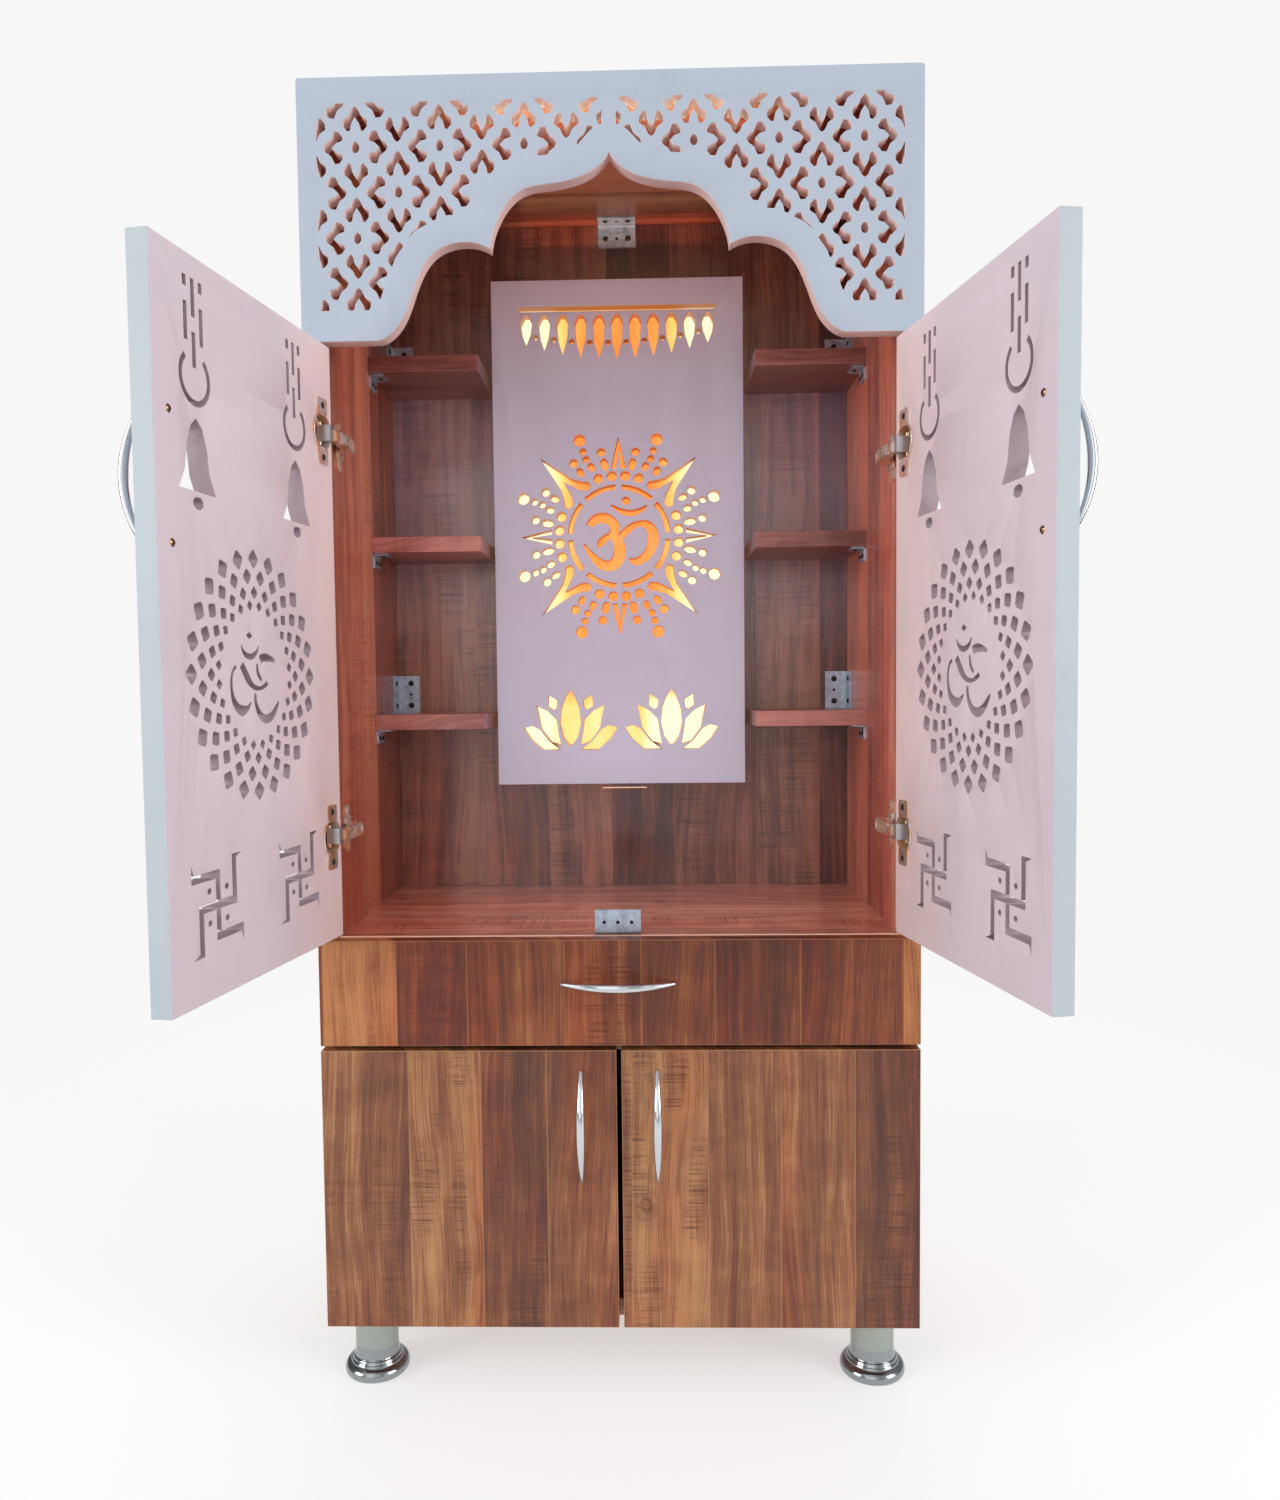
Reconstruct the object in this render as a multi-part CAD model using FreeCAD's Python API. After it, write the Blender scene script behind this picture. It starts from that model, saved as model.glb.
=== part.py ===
import FreeCAD
import Part
import math
import os
from FreeCAD import Vector

# A household shrine cabinet. Lengths are in millimetres and angles in degrees.
# Heights are measured from the underside of the cabinet, and y from the front
# of the arch panel into the cabinet. place() moves the pieces to the stored
# frame: on the floor, at the middle of the space that the object takes up.

# Carcass
cabinet_width = 610.0
cabinet_height = 1249.0
side_depth = 318.0
board = 18.0
drawer_line = 290.0
shrine_line = 400.0
arch_bottom = 996.0
leg_height = 75.0

# Gaps between the fronts, and from the fronts back to the carcass
reveal = 5.0
front_gap = 5.0
shrine_gap = 8.0
touch = 0.3

# Arch in the front panel
arch_half_span = 228.0
arch_rise = 175.7
arch_corner_radius = 4.0
cusp_half_span = 117.0
cusp_rise = 86.0

# Fretwork in the arch panel: four bow-shaped holes about a dot, on a lattice
fret_pitch = (82.5, 86.8)
fret_row_drop = 67.0
fret_dot = (4.0, 5.5)
upright_bow = (12.0, 15.5, 39.0)
level_bow = (15.5, 12.5, 31.5)
fret_side_margin = 19.0
fret_top_margin = 25.0
fret_low_margin = 30.0
fret_arch_margin = 28.0
fret_middle_margin = 7.0
fret_smallest = 40.0
bow_outside = ((0.0, 1.0), (0.25, 0.9), (0.5, 0.62), (1.0, 0.44), (0.96, 0.18), (0.66, 0.0))
bow_inside = ((0.42, 0.03), (0.3, 0.34), (0.0, 0.58))

# Cut-outs in the shrine doors
door_art_offset = 10.0
bell_spacing = 82.5
bell_outline = ((0.0, 466.0), (8.0, 459.0), (14.0, 445.0), (17.0, 425.0), (26.0, 409.0))
bell_clapper = (7.5, 400.0, 5.0)
ring_height = 497.0
ring_radii = (17.5, 22.0)
ring_opening = 40.0
slot_width = 5.0
outer_slots = ((524.0, 553.0), (565.0, 573.0))
middle_slots = ((505.0, 532.0), (544.0, 573.0))
slot_spacing = 11.0
rosette_height = 266.0
rosette_count = 24
rosette_rings = ((60.0, 4.6), (71.0, 5.8), (84.5, 7.2), (99.5, 8.8))
swastik_spacing = 70.5
swastik_height = 80.0
swastik_bar = 6.6
swastik_reach = 28.5
swastik_arm = 38.0
swastik_flare = 8.0
swastik_dot = 13.0

# Cut-outs in the lit panel
sun_rise = 303.5
sun_ring = (57.0, 63.0)
sun_ring_gap = 8.0
sun_beads = (
    (17, 87, 4.8, 8.0), (21, 102, 5.2, 5.2), (33, 84, 4.4, 5.8), (39.5, 93.5, 4.3, 4.3),
    (43, 103, 4.4, 4.4), (47, 116.5, 7.5, 7.5), (46.5, 78, 4.4, 6.2), (54.5, 89, 5.4, 5.4),
    (8, 73, 6.2, 6.2), (24.5, 70, 6.2, 6.2),
)
lotus_rise = 41.5
lotus_spacing = 62.5
garland_drop = 31.5
garland_half = 121.0
garland_bar = 6.0
garland_leaves = 11
garland_pitch = 22.0
leaf_half_width = 7.2
longest_leaf = 54.0
shortest_leaf = 36.0

# Lit panel, its diffuser and the frame that holds it off the back
lit_width = 305.0
lit_height = 612.0
lit_top_gap = 84.5
lit_offset = 35.0
diffuser_thickness = 3.0
frame_bar = 16.0
frame_inset = 14.0
led_width = 8.0
led_thickness = 2.0

# Shelves, three on each side
shelf_depth = 126.0
shelf_to_lit_panel = 6.5
first_shelf_rise = 224.0
shelf_pitch = 207.0
shelf_count = 3

# Brackets of bent steel
sheet = 2.0
bend_radius = 3.0
corner_flange = 28.0
corner_length = 47.0
stop_height = 26.0
support_flange = 16.0
support_length = 28.0
support_from_front = 22.0

# Shrine doors
open_angle = 99.5
shrine_pivot_inset = 9.3
shrine_pivot_depth = 13.0
left_upper_hinge_drop = 86.0
right_upper_hinge_drop = 106.0
lower_hinge_rise = 102.5

# Lower doors
base_hinge_margin = 62.0

# Concealed hinges
cup_radius = 17.5
cup_depth = 11.0
cup_wall = 1.0
cup_lip = 1.0
cup_inset = 21.5
wing_height = 64.0
wing_width = 20.0
wing_thickness = 1.5
arm_height = 14.0
arm_thickness = 9.0
arm_reach = 62.0
plate_height = 50.0
plate_length = 26.0
plate_thickness = 3.0
plate_setback = 24.0

# Handles
handle_length = 117.0
handle_rise = 23.0
handle_waist = 8.6
handle_tip = 3.0
handle_screws = 100.0
handle_foot = 3.2
handle_flatness = 0.8
handle_sides = 12
shrine_handle_inset = 20.0
shrine_handle_rise = 410.0
lower_handle_inset = 36.0
lower_handle_drop = 78.0
drawer_handle_drop = 44.0

# Drawer
drawer_side = 12.0
drawer_side_height = 62.0
drawer_to_back = 25.0
drawer_bottom_thickness = 6.0
drawer_groove_up = 8.0
drawer_lift = 6.0
runner_height = 35.0
runner_depth = 12.0
runner_sheet = 1.5
runner_lap = 5.0
runner_to_drawer_end = 5.0

# Legs
leg_radius = 22.5
leg_wall = 2.0
foot_radius = 34.0
foot_height = 14.0
foot_flare = 18.0
leg_plate_radius = 30.0
leg_plate_thickness = 2.5
leg_inset_side = 40.0
leg_inset_front = 32.0
leg_inset_back = 40.0

half_width = cabinet_width / 2
inner_half = half_width - board
carcass_front = board
back_front = carcass_front + side_depth - board
carcass_back = carcass_front + side_depth
underside_of_top = cabinet_height - board
front_half = half_width - reveal / 2
door_width = front_half - reveal / 2
front_face_inner = carcass_front - front_gap
shrine_face_inner = carcass_front - shrine_gap
lit_bottom = underside_of_top - lit_top_gap - lit_height
shelf_length = inner_half - lit_width / 2 - shelf_to_lit_panel


def box(x0, x1, y0, y1, z0, z1):
    return Part.makeBox(x1 - x0, y1 - y0, z1 - z0, Vector(x0, y0, z0))


def mirrored(shape, side):
    if side < 0:
        return shape
    return shape.mirror(Vector(0, 0, 0), Vector(1, 0, 0))


def pivot(side, inset, depth, inner_face):
    return Vector(side * (front_half - inset), inner_face - depth, 0)


def swing(shape, side):
    opened = shape.copy()
    centre = pivot(side, shrine_pivot_inset, shrine_pivot_depth, shrine_face_inner)
    opened.rotate(centre, Vector(0, 0, 1), side * open_angle)
    return opened


def door_front_reach():
    angle = math.radians(open_angle)
    along = door_width - shrine_pivot_inset
    inward = shrine_pivot_depth * math.cos(angle)
    return shrine_face_inner - shrine_pivot_depth - along * math.sin(angle) + inward


middle = (carcass_back + door_front_reach()) / 2


def place(name, shapes):
    shape = shapes[0] if len(shapes) == 1 else Part.makeCompound(shapes)
    stored = shape.copy()
    stored.translate(Vector(0, -middle, leg_height))
    stored.exportStep("parts/" + name + ".step")


def carcass():
    for side, name in ((-1, "left_side_panel"), (1, "right_side_panel")):
        panel = box(-half_width, -inner_half, carcass_front, carcass_back, 0, underside_of_top)
        place(name, [mirrored(panel, side)])
    top = box(-half_width, half_width, carcass_front, carcass_back, underside_of_top, cabinet_height)
    place("top_panel", [top])
    back = box(-inner_half, inner_half, back_front, carcass_back, 0, underside_of_top)
    place("back_panel", [back])
    levels = (
        ("base_panel", 0.0),
        ("drawer_divider", drawer_line - board / 2),
        ("shrine_floor", shrine_line - board),
    )
    for name, low in levels:
        place(name, [box(-inner_half, inner_half, carcass_front, back_front, low, low + board)])


def arch_point(side, across, up):
    return Vector(side * across, 0, arch_bottom + up)


def arch_curves(side):
    lower = ((1.0, 0.0), (0.85, 0.13), (0.685, 0.57), (0.495, 0.977), (0.207, 1.085), (0.0, 1.0))
    upper = ((1.0, 0.0), (0.923, 0.346), (0.726, 0.624), (0.47, 0.686), (0.214, 0.765), (0.0, 1.0))
    lobe = arch_half_span - cusp_half_span
    crown = arch_rise - cusp_rise
    low_points = [arch_point(side, cusp_half_span + u * lobe, v * cusp_rise) for u, v in lower]
    high_points = [arch_point(side, u * cusp_half_span, cusp_rise + v * crown) for u, v in upper]
    edges = []
    for points in (low_points, high_points):
        curve = Part.BSplineCurve()
        curve.interpolate(points)
        edges.append(curve.toShape())
    return edges


def arch_outline():
    corners = [
        arch_point(-1, arch_half_span, 0),
        Vector(-half_width, 0, arch_bottom),
        Vector(-half_width, 0, cabinet_height),
        Vector(half_width, 0, cabinet_height),
        Vector(half_width, 0, arch_bottom),
        arch_point(1, arch_half_span, 0),
    ]
    edges = [Part.makeLine(a, b) for a, b in zip(corners, corners[1:])]
    edges += arch_curves(1) + arch_curves(-1)
    return Part.Wire(Part.__sortEdges__(edges))


def flat(points):
    # A face in the plane y = 0 with straight sides
    corners = [Vector(x, 0, z) for x, z in points]
    return Part.Face(Part.makePolygon(corners + corners[:1]))


def round_hole(x, z, half_wide, half_high, lean=0.0, sides=10):
    # An ellipse whose long way leans from upright by an angle
    points = []
    for i in range(sides):
        t = 2 * math.pi * (i + 0.5) / sides
        u = half_wide * math.cos(t)
        v = half_high * math.sin(t)
        points.append((u, v))
    return moved(flat(turned_points(points, -lean)), x, 0, z)


def turned_points(points, angle):
    c = math.cos(angle)
    s = math.sin(angle)
    return [(x * c - z * s, x * s + z * c) for x, z in points]


def both_halves(points):
    # Right half of an outline from top to bottom, closed by its mirror image
    ends = [p for p in points if p[0] > 0]
    return list(points) + [(-x, z) for x, z in reversed(ends)]


def bow(x, z, angle, size):
    half, near, far = size
    outline = [(w * half, near + (far - near) * r) for w, r in bow_outside + bow_inside]
    return flat([(x + u, z + v) for u, v in turned_points(both_halves(outline), angle)])


def flower(x, z):
    holes = [round_hole(x, z, fret_dot[0], fret_dot[1], 0, 8)]
    for i, size in enumerate((upright_bow, level_bow, upright_bow, level_bow)):
        holes.append(bow(x, z, i * math.pi / 2, size))
    return holes


def arch_field():
    # The opening of the arch, with straight sides
    points = []
    for edge in arch_curves(1):
        points += [(p.x, p.z) for p in edge.discretize(9)[:-1]]
    return flat(both_halves([(0, arch_bottom + arch_rise)] + points[::-1]))


def fretwork():
    # Holes of the right half, kept to the field between the arch and the panel's edges
    low = arch_bottom + fret_low_margin
    high = cabinet_height - fret_top_margin
    wide = half_width - fret_side_margin
    field = flat([(fret_middle_margin, low), (wide, low), (wide, high), (fret_middle_margin, high)])
    field = field.cut(arch_field().makeOffset2D(fret_arch_margin))
    holes = []
    rows = range(-1, 5)
    for row in rows:
        z = cabinet_height - fret_row_drop - row * fret_pitch[1] / 2
        shift = (row % 2) * fret_pitch[0] / 2
        for column in range(5):
            for hole in flower(column * fret_pitch[0] + shift, z):
                holes += [piece for piece in hole.common(field).Faces if piece.Area > fret_smallest]
    return holes


def arch_panel():
    holes = []
    for hole in fretwork():
        holes += [hole, mirrored(hole, 1)]
    panel = Part.Face(arch_outline()).cut(Part.makeCompound(holes)).extrude(Vector(0, board, 0)).Solids[0]
    top = cabinet_height - arch_corner_radius
    corners = [edge for edge in panel.Edges if edge.BoundBox.ZMin > top and edge.BoundBox.XLength < touch]
    place("arch_panel", [panel.makeFillet(arch_corner_radius, corners)])


def brush(points, widths):
    # A stroke through the points, as wide at each of them as widths says
    steps = 3
    last = len(points) - 1
    curve = Part.BSplineCurve()
    knots = [float(i) for i in range(last + 1)]
    curve.interpolate(Points=[Vector(x, 0, z) for x, z in points], Parameters=knots)
    near = []
    far = []
    for i in range(steps * last + 1):
        t = i / steps
        k = min(int(t), last - 1)
        half = (widths[k] + (widths[k + 1] - widths[k]) * (t - k)) / 2
        spot = curve.value(t)
        along = curve.tangent(t)[0]
        near.append((spot.x - along.z * half, spot.z + along.x * half))
        far.append((spot.x + along.z * half, spot.z - along.x * half))
    return flat(near + far[::-1])


def arc_band(inner, outer, start, end):
    steps = math.ceil((end - start) / 0.2)
    angles = [start + (end - start) * i / steps for i in range(steps + 1)]
    inside = [(inner * math.cos(t), inner * math.sin(t)) for t in angles]
    outside = [(outer * math.cos(t), outer * math.sin(t)) for t in angles]
    return flat(outside + inside[::-1])


def rosette():
    holes = []
    for ring, (radius, half) in enumerate(rosette_rings):
        for i in range(rosette_count):
            angle = 2 * math.pi * (i + (0.5, 0.0)[ring % 2]) / rosette_count
            kite = [(0.16, 0.9), (0.9, 0.12), (0.86, -0.16), (0.14, -0.82)]
            points = [(u * half, radius + v * half) for u, v in both_halves(kite)]
            holes.append(flat(turned_points(points, angle)))
    return holes


def door_syllable():
    # The Om in five strokes and a dot, as seen on the inside of the door
    return [
        flat([(-10, 37), (-5, 34), (-10, 31), (-15, 34)]),
        brush([(-24, 25), (-18, 18), (-10, 16), (-2, 18), (5, 25)], (1.5, 4.5, 5, 4.5, 1.5)),
        brush([(-33, 7), (-40, 0), (-41, -12), (-36, -24), (-24, -30), (-10, -23)], (3, 3, 4, 7, 9, 1.5)),
        brush([(-24, 9), (-15, -2), (-6, -9), (6, -11), (19, -6)], (7, 8, 5, 3, 4)),
        brush([(33, 13), (18, 16), (7, 14)], (3, 7, 7)),
        brush([(2, 10), (3, 2), (9, -4)], (3, 4, 3)),
        brush([(-2, -16), (-1, -26), (8, -36), (22, -37), (33, -29), (39, -23)], (4, 5, 7, 8, 5, 1.5)),
    ]


def swastik():
    half = swastik_bar / 2
    arm = [
        (half, -half),
        (swastik_reach, -half),
        (swastik_reach, swastik_arm - half),
        (swastik_reach + swastik_flare, swastik_arm),
        (swastik_reach - swastik_bar, swastik_arm),
        (swastik_reach - swastik_bar, half),
    ]
    outline = []
    for i in range(4):
        outline += turned_points(arm, i * math.pi / 2)
    holes = [flat(outline)]
    for x in (-swastik_dot, swastik_dot):
        for z in (-swastik_dot, swastik_dot):
            holes.append(round_hole(x, z, 3, 2.4, 0, 8))
    return holes


def bell():
    holes = [flat(both_halves(bell_outline))]
    half, height, tall = bell_clapper
    holes.append(round_hole(0, height, half, tall, 0, 8))
    gap = math.radians(ring_opening)
    ring = arc_band(ring_radii[0], ring_radii[1], math.pi / 2 + gap, math.pi * 2.5 - gap)
    holes.append(moved(ring, 0, 0, ring_height))
    for x, slots in ((-slot_spacing, outer_slots), (0, middle_slots), (slot_spacing, outer_slots)):
        left = x - slot_width / 2
        right = x + slot_width / 2
        holes += [flat([(left, low), (right, low), (right, high), (left, high)]) for low, high in slots]
    return holes


def door_art():
    # Holes of one shrine door, about its middle line and up from the shrine floor
    holes = [moved(hole, 0, 0, rosette_height) for hole in rosette() + door_syllable()]
    for side in (-1, 1):
        holes += [moved(hole, side * bell_spacing, 0, 0) for hole in bell()]
        holes += [moved(hole, side * swastik_spacing, 0, swastik_height) for hole in swastik()]
    return Part.makeCompound(holes)


def sun():
    holes = []
    gap = math.radians(sun_ring_gap) / 2
    spear = [(0, 120), (9, 82), (3, 82), (0, 107)]
    ray = [(95, 95), (57, 70), (46, 67), (37, 66), (34, 61), (38, 56), (48, 57), (67, 67)]
    ray += [(z, x) for x, z in reversed(ray[1:-1])]
    for quarter in range(4):
        turn = quarter * math.pi / 2
        for start in (turn, turn + math.pi / 4):
            holes.append(arc_band(sun_ring[0], sun_ring[1], start + gap, start + math.pi / 4 - gap))
        holes.append(flat(turned_points(both_halves(spear), turn)))
        holes.append(flat(turned_points(ray, turn)))
        for x, z, half_wide, half_high in sun_beads:
            for side in (-1, 1):
                u, v = turned_points([(side * x, z)], turn)[0]
                holes.append(round_hole(u, v, half_wide, half_high, math.atan2(u, v), 8))
    return holes


def panel_syllable():
    # The Om, about the middle of the sun
    tail = (8, 9, 7, 11, 13, 11, 9, 5)
    strokes = [
        brush([(-36, 13), (-28, 21), (-15, 22), (-5, 12), (-11, 1)], (8, 12, 12, 12, 9)),
        brush([(-11, 1), (-1, -7), (-1, -27), (-13, -36), (-28, -29), (-43, -9)], (9, 13, 15, 13, 10, 2)),
        brush([(-8, 0), (-15, -1), (-21, -6), (-22, -12)], (6, 8, 9, 9)),
        brush([(-1, -3), (11, 8), (24, 15), (38, 11), (42, -6), (34, -23), (22, -31), (14, -27)], tail),
    ]
    joined = strokes[0].fuse(strokes[1:]).removeSplitter().Faces
    crescent = brush([(-9, 38), (2, 31), (14, 28), (26, 31), (34, 37)], (2, 6, 8, 6, 2))
    return joined + [crescent, round_hole(9, 43, 5, 5)]


def lotus():
    petals = (
        ((12, 7), (24, 11), (36, 27), (42, 56), (28, 49), (17, 38), (15, 22)),
        ((13, 1), (34, 1), (48, 13), (58, 28), (47, 31), (38, 26), (27, 12)),
        ((17, 53), (21, 50), (28, 55), (27, 69), (16, 62)),
    )
    holes = [flat(both_halves(((0, 75), (6, 66), (11, 52), (13, 34), (9, 17), (2, 7))))]
    for petal in petals:
        holes += [flat(petal), flat([(-x, z) for x, z in petal])]
    return holes


def garland():
    # A band with leaves hung below it, longest in the middle, down from z = 0
    low = -garland_bar
    ends = garland_half - garland_bar / 2
    corners = [(-ends, low), (ends, low), (garland_half, low + garland_bar / 2)]
    corners += [(ends, 0), (-ends, 0), (-garland_half, low + garland_bar / 2)]
    holes = [flat(corners)]
    middle_leaf = (garland_leaves - 1) / 2
    for i in range(garland_leaves):
        off = (i - middle_leaf) / middle_leaf
        x = (i - middle_leaf) * garland_pitch
        long = longest_leaf - (longest_leaf - shortest_leaf) * off * off
        top = low - 4
        leaf = [(2.5, 0), (leaf_half_width, -9), (leaf_half_width - 1.5, -long * 0.6), (0, -long)]
        holes.append(moved(flat(both_halves(leaf)), x, 0, top))
        if i > 0:
            holes.append(round_hole(x - garland_pitch / 2, top - long * 0.62, 3.4, 3.4, 0, 8))
    return holes


def panel_art():
    holes = [moved(hole, 0, 0, lit_bottom + sun_rise) for hole in sun() + panel_syllable()]
    for side in (-1, 1):
        holes += [moved(hole, side * lotus_spacing, 0, lit_bottom + lotus_rise) for hole in lotus()]
    garland_top = lit_bottom + lit_height - garland_drop
    holes += [moved(hole, 0, 0, garland_top) for hole in garland()]
    return Part.makeCompound(holes)


def lit_panel():
    front = back_front - lit_offset - board
    sheet_front = front + board
    frame_front = sheet_front + diffuser_thickness
    half = lit_width / 2
    top = lit_bottom + lit_height
    face = flat([(-half, lit_bottom), (half, lit_bottom), (half, top), (-half, top)])
    pierced = face.cut(panel_art()).extrude(Vector(0, board, 0))
    place("lit_panel", [moved(pierced, 0, front, 0)])
    place("panel_diffuser", [box(-half, half, sheet_front, frame_front, lit_bottom, top)])
    outer = half - frame_inset
    inner = outer - frame_bar
    low = lit_bottom + frame_inset
    high = top - frame_inset
    frame = box(-outer, outer, frame_front, back_front, low, high)
    frame = frame.cut(box(-inner, inner, frame_front, back_front, low + frame_bar, high - frame_bar))
    place("lit_panel_frame", [frame])
    strips = []
    led_middle = (frame_front + back_front) / 2
    led_y = (led_middle - led_width / 2, led_middle + led_width / 2)
    for side in (-1, 1):
        ends = (low + frame_bar, high - frame_bar)
        strip = box(-inner, -inner + led_thickness, led_y[0], led_y[1], ends[0], ends[1])
        strips.append(mirrored(strip, side))
    place("led_strips", strips)


def shelf_tops():
    return [shrine_line + first_shelf_rise + i * shelf_pitch for i in range(shelf_count)]


def shelves():
    names = ("lower", "middle", "upper")
    for side, word in ((-1, "left"), (1, "right")):
        for name, top in zip(names, shelf_tops()):
            end = -inner_half + shelf_length
            shelf = box(-inner_half, end, back_front - shelf_depth, back_front, top - board, top)
            place(word + "_" + name + "_shelf", [mirrored(shelf, side)])


def bracket(first_leg, second_leg, length):
    # An angle with its corner on the X axis: one flange along +Y, the other along +Z
    points = [
        Vector(0, bend_radius, 0),
        Vector(0, first_leg, 0),
        Vector(0, first_leg, sheet),
        Vector(0, bend_radius, sheet),
        Vector(0, sheet, bend_radius),
        Vector(0, sheet, second_leg),
        Vector(0, 0, second_leg),
        Vector(0, 0, bend_radius),
    ]
    bend = bend_radius * (1 - math.sqrt(0.5))
    inside = (bend_radius - sheet) * (1 - math.sqrt(0.5)) + sheet
    outer_arc = Part.Arc(points[7], Vector(0, bend, bend), points[0]).toShape()
    inner_arc = Part.Arc(points[3], Vector(0, inside, inside), points[4]).toShape()
    edges = [Part.makeLine(points[i], points[i + 1]) for i in (0, 1, 2, 4, 5, 6)]
    edges += [outer_arc, inner_arc]
    profile = Part.Wire(Part.__sortEdges__(edges))
    angle = Part.Face(profile).extrude(Vector(length, 0, 0))
    angle.translate(Vector(-length / 2, 0, 0))
    return angle


def turned(shape, axis, degrees):
    copy = shape.copy()
    copy.rotate(Vector(0, 0, 0), axis, degrees)
    return copy


def moved(shape, x, y, z):
    copy = shape.copy()
    copy.translate(Vector(x, y, z))
    return copy


def corner_brackets():
    angle = bracket(corner_flange, corner_flange, corner_length)
    under_top = turned(angle, Vector(1, 0, 0), 180)
    pieces = [moved(under_top, 0, back_front, underside_of_top)]
    upright = turned(turned(angle, Vector(1, 0, 0), 180), Vector(0, 1, 0), -90)
    for height in (shelf_tops()[0], shelf_tops()[-1]):
        piece = moved(upright, -inner_half, back_front, height + corner_length / 2)
        for side in (-1, 1):
            pieces.append(mirrored(piece, side))
    place("corner_brackets", pieces)
    stop = bracket(corner_flange, stop_height, corner_length)
    place("door_stop", [moved(stop, 0, carcass_front, shrine_line)])


def shelf_supports():
    angle = bracket(support_flange, support_flange, support_length)
    upright = turned(turned(angle, Vector(1, 0, 0), 180), Vector(0, 0, 1), 90)
    along = back_front - shelf_depth + support_from_front
    pieces = []
    for top in shelf_tops():
        piece = moved(upright, -inner_half, along, top - board)
        for side in (-1, 1):
            pieces.append(mirrored(piece, side))
    place("shelf_supports", pieces)


def hinge_cup(edge, inner_face, height):
    # Cup and wings in a closed left door whose hinge edge is at x = edge
    centre = Vector(edge + cup_inset, inner_face - cup_depth, height)
    body = Part.makeCylinder(cup_radius, cup_depth, centre, Vector(0, 1, 0))
    wing = box(
        centre.x - wing_width / 2,
        centre.x + wing_width / 2,
        inner_face,
        inner_face + wing_thickness,
        height - wing_height / 2,
        height + wing_height / 2,
    )
    rim = Part.makeCylinder(
        cup_radius + cup_lip, wing_thickness, Vector(centre.x, inner_face, height), Vector(0, 1, 0)
    )
    hollow = Part.makeCylinder(
        cup_radius - cup_wall, cup_depth + board, centre + Vector(0, cup_wall, 0), Vector(0, 1, 0)
    )
    return body.fuse([wing, rim]).removeSplitter().cut(hollow)


def cup_bore(edge, inner_face, height):
    start = Vector(edge + cup_inset, inner_face - cup_depth, height)
    return Part.makeCylinder(cup_radius, cup_depth, start, Vector(0, 1, 0))


def hinge_arm(edge, inner_face, height, face):
    # The arm reaches from the wall plate into the cup of the closed door
    tip = inner_face - cup_depth + cup_wall + touch
    arm = box(
        face, face + arm_thickness, tip, tip + arm_reach, height - arm_height / 2, height + arm_height / 2
    )
    radius = plate_length / 2
    straight = plate_height / 2 - radius
    plate = box(
        -inner_half,
        -inner_half + plate_thickness,
        carcass_front + plate_setback,
        carcass_front + plate_setback + plate_length,
        height - straight,
        height + straight,
    )
    for end in (-straight, straight):
        centre = Vector(-inner_half, carcass_front + plate_setback + radius, height + end)
        plate = plate.fuse(Part.makeCylinder(radius, plate_thickness, centre, Vector(1, 0, 0)))
    block = box(
        -inner_half,
        face,
        carcass_front + plate_setback,
        tip + arm_reach,
        height - arm_height / 2,
        height + arm_height / 2,
    )
    return arm.fuse([plate, block]).removeSplitter()


def oval(half_wide, half_thick):
    steps = [2 * math.pi * (i + 0.5) / handle_sides for i in range(handle_sides)]
    points = [Vector(half_wide * math.cos(t), half_thick * math.sin(t), 0) for t in steps]
    return points + points[:1]


def handle():
    # A bowed spindle along Z, standing off a board whose face is the plane y = 0
    sections = []
    count = 9
    for i in range(count):
        s = -1 + 2 * i / (count - 1)
        out = -handle_tip / 2 - (handle_rise - handle_tip) * (1 - s * s)
        wide = handle_tip + (handle_waist - handle_tip) * (1 - s * s)
        slope = math.atan2(2 * s * (handle_rise - handle_tip), handle_length / 2)
        section = Part.makePolygon(oval(wide / 2, wide / 2 * handle_flatness))
        section.rotate(Vector(0, 0, 0), Vector(1, 0, 0), -math.degrees(slope))
        section.translate(Vector(0, out, s * handle_length / 2))
        sections.append(section)
    bow = Part.makeLoft(sections, True, True)
    feet = []
    for end in (-1, 1):
        s = handle_screws / handle_length
        reach = (handle_rise - handle_tip) * (1 - s * s)
        centre = Vector(0, 0, end * handle_screws / 2)
        feet.append(Part.makeCylinder(handle_foot, reach, centre, Vector(0, -1, 0)))
    return bow.fuse(feet)


def shrine_arm_face():
    # Side of the arm that the rim of the open door's cup comes to rest beside
    angle = math.radians(open_angle)
    depth = shrine_pivot_depth + wing_thickness
    inset = cup_inset - cup_radius - cup_lip - shrine_pivot_inset
    turn = inset * math.cos(angle) + depth * math.sin(angle)
    return -front_half + shrine_pivot_inset + turn + touch


def shrine_doors():
    low = shrine_line + reveal
    high = arch_bottom - reveal
    outer_face = shrine_face_inner - board
    arms = []
    drops = ((-1, "left", left_upper_hinge_drop), (1, "right", right_upper_hinge_drop))
    for side, word, drop in drops:
        middle_line = door_art_offset - (door_width + reveal) / 2
        art = moved(mirrored(door_art(), -side), middle_line, 0, shrine_line)
        face = flat([(-front_half, low), (-reveal / 2, low), (-reveal / 2, high), (-front_half, high)])
        leaf = moved(face.cut(art).extrude(Vector(0, board, 0)), 0, outer_face, 0)
        cups = []
        for height in (low + lower_hinge_rise, high - drop):
            leaf = leaf.cut(cup_bore(-front_half, shrine_face_inner, height))
            cups.append(hinge_cup(-front_half, shrine_face_inner, height))
            arms.append(mirrored(hinge_arm(-front_half, shrine_face_inner, height, shrine_arm_face()), side))
        pull = moved(handle(), -reveal / 2 - shrine_handle_inset, outer_face, low + shrine_handle_rise)
        name = word + "_shrine_door"
        place(name, [swing(mirrored(leaf, side), side)])
        place(name + "_handle", [swing(mirrored(pull, side), side)])
        place(name + "_hinge_cups", [swing(mirrored(cup, side), side) for cup in cups])
    place("shrine_hinge_arms", arms)


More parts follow.
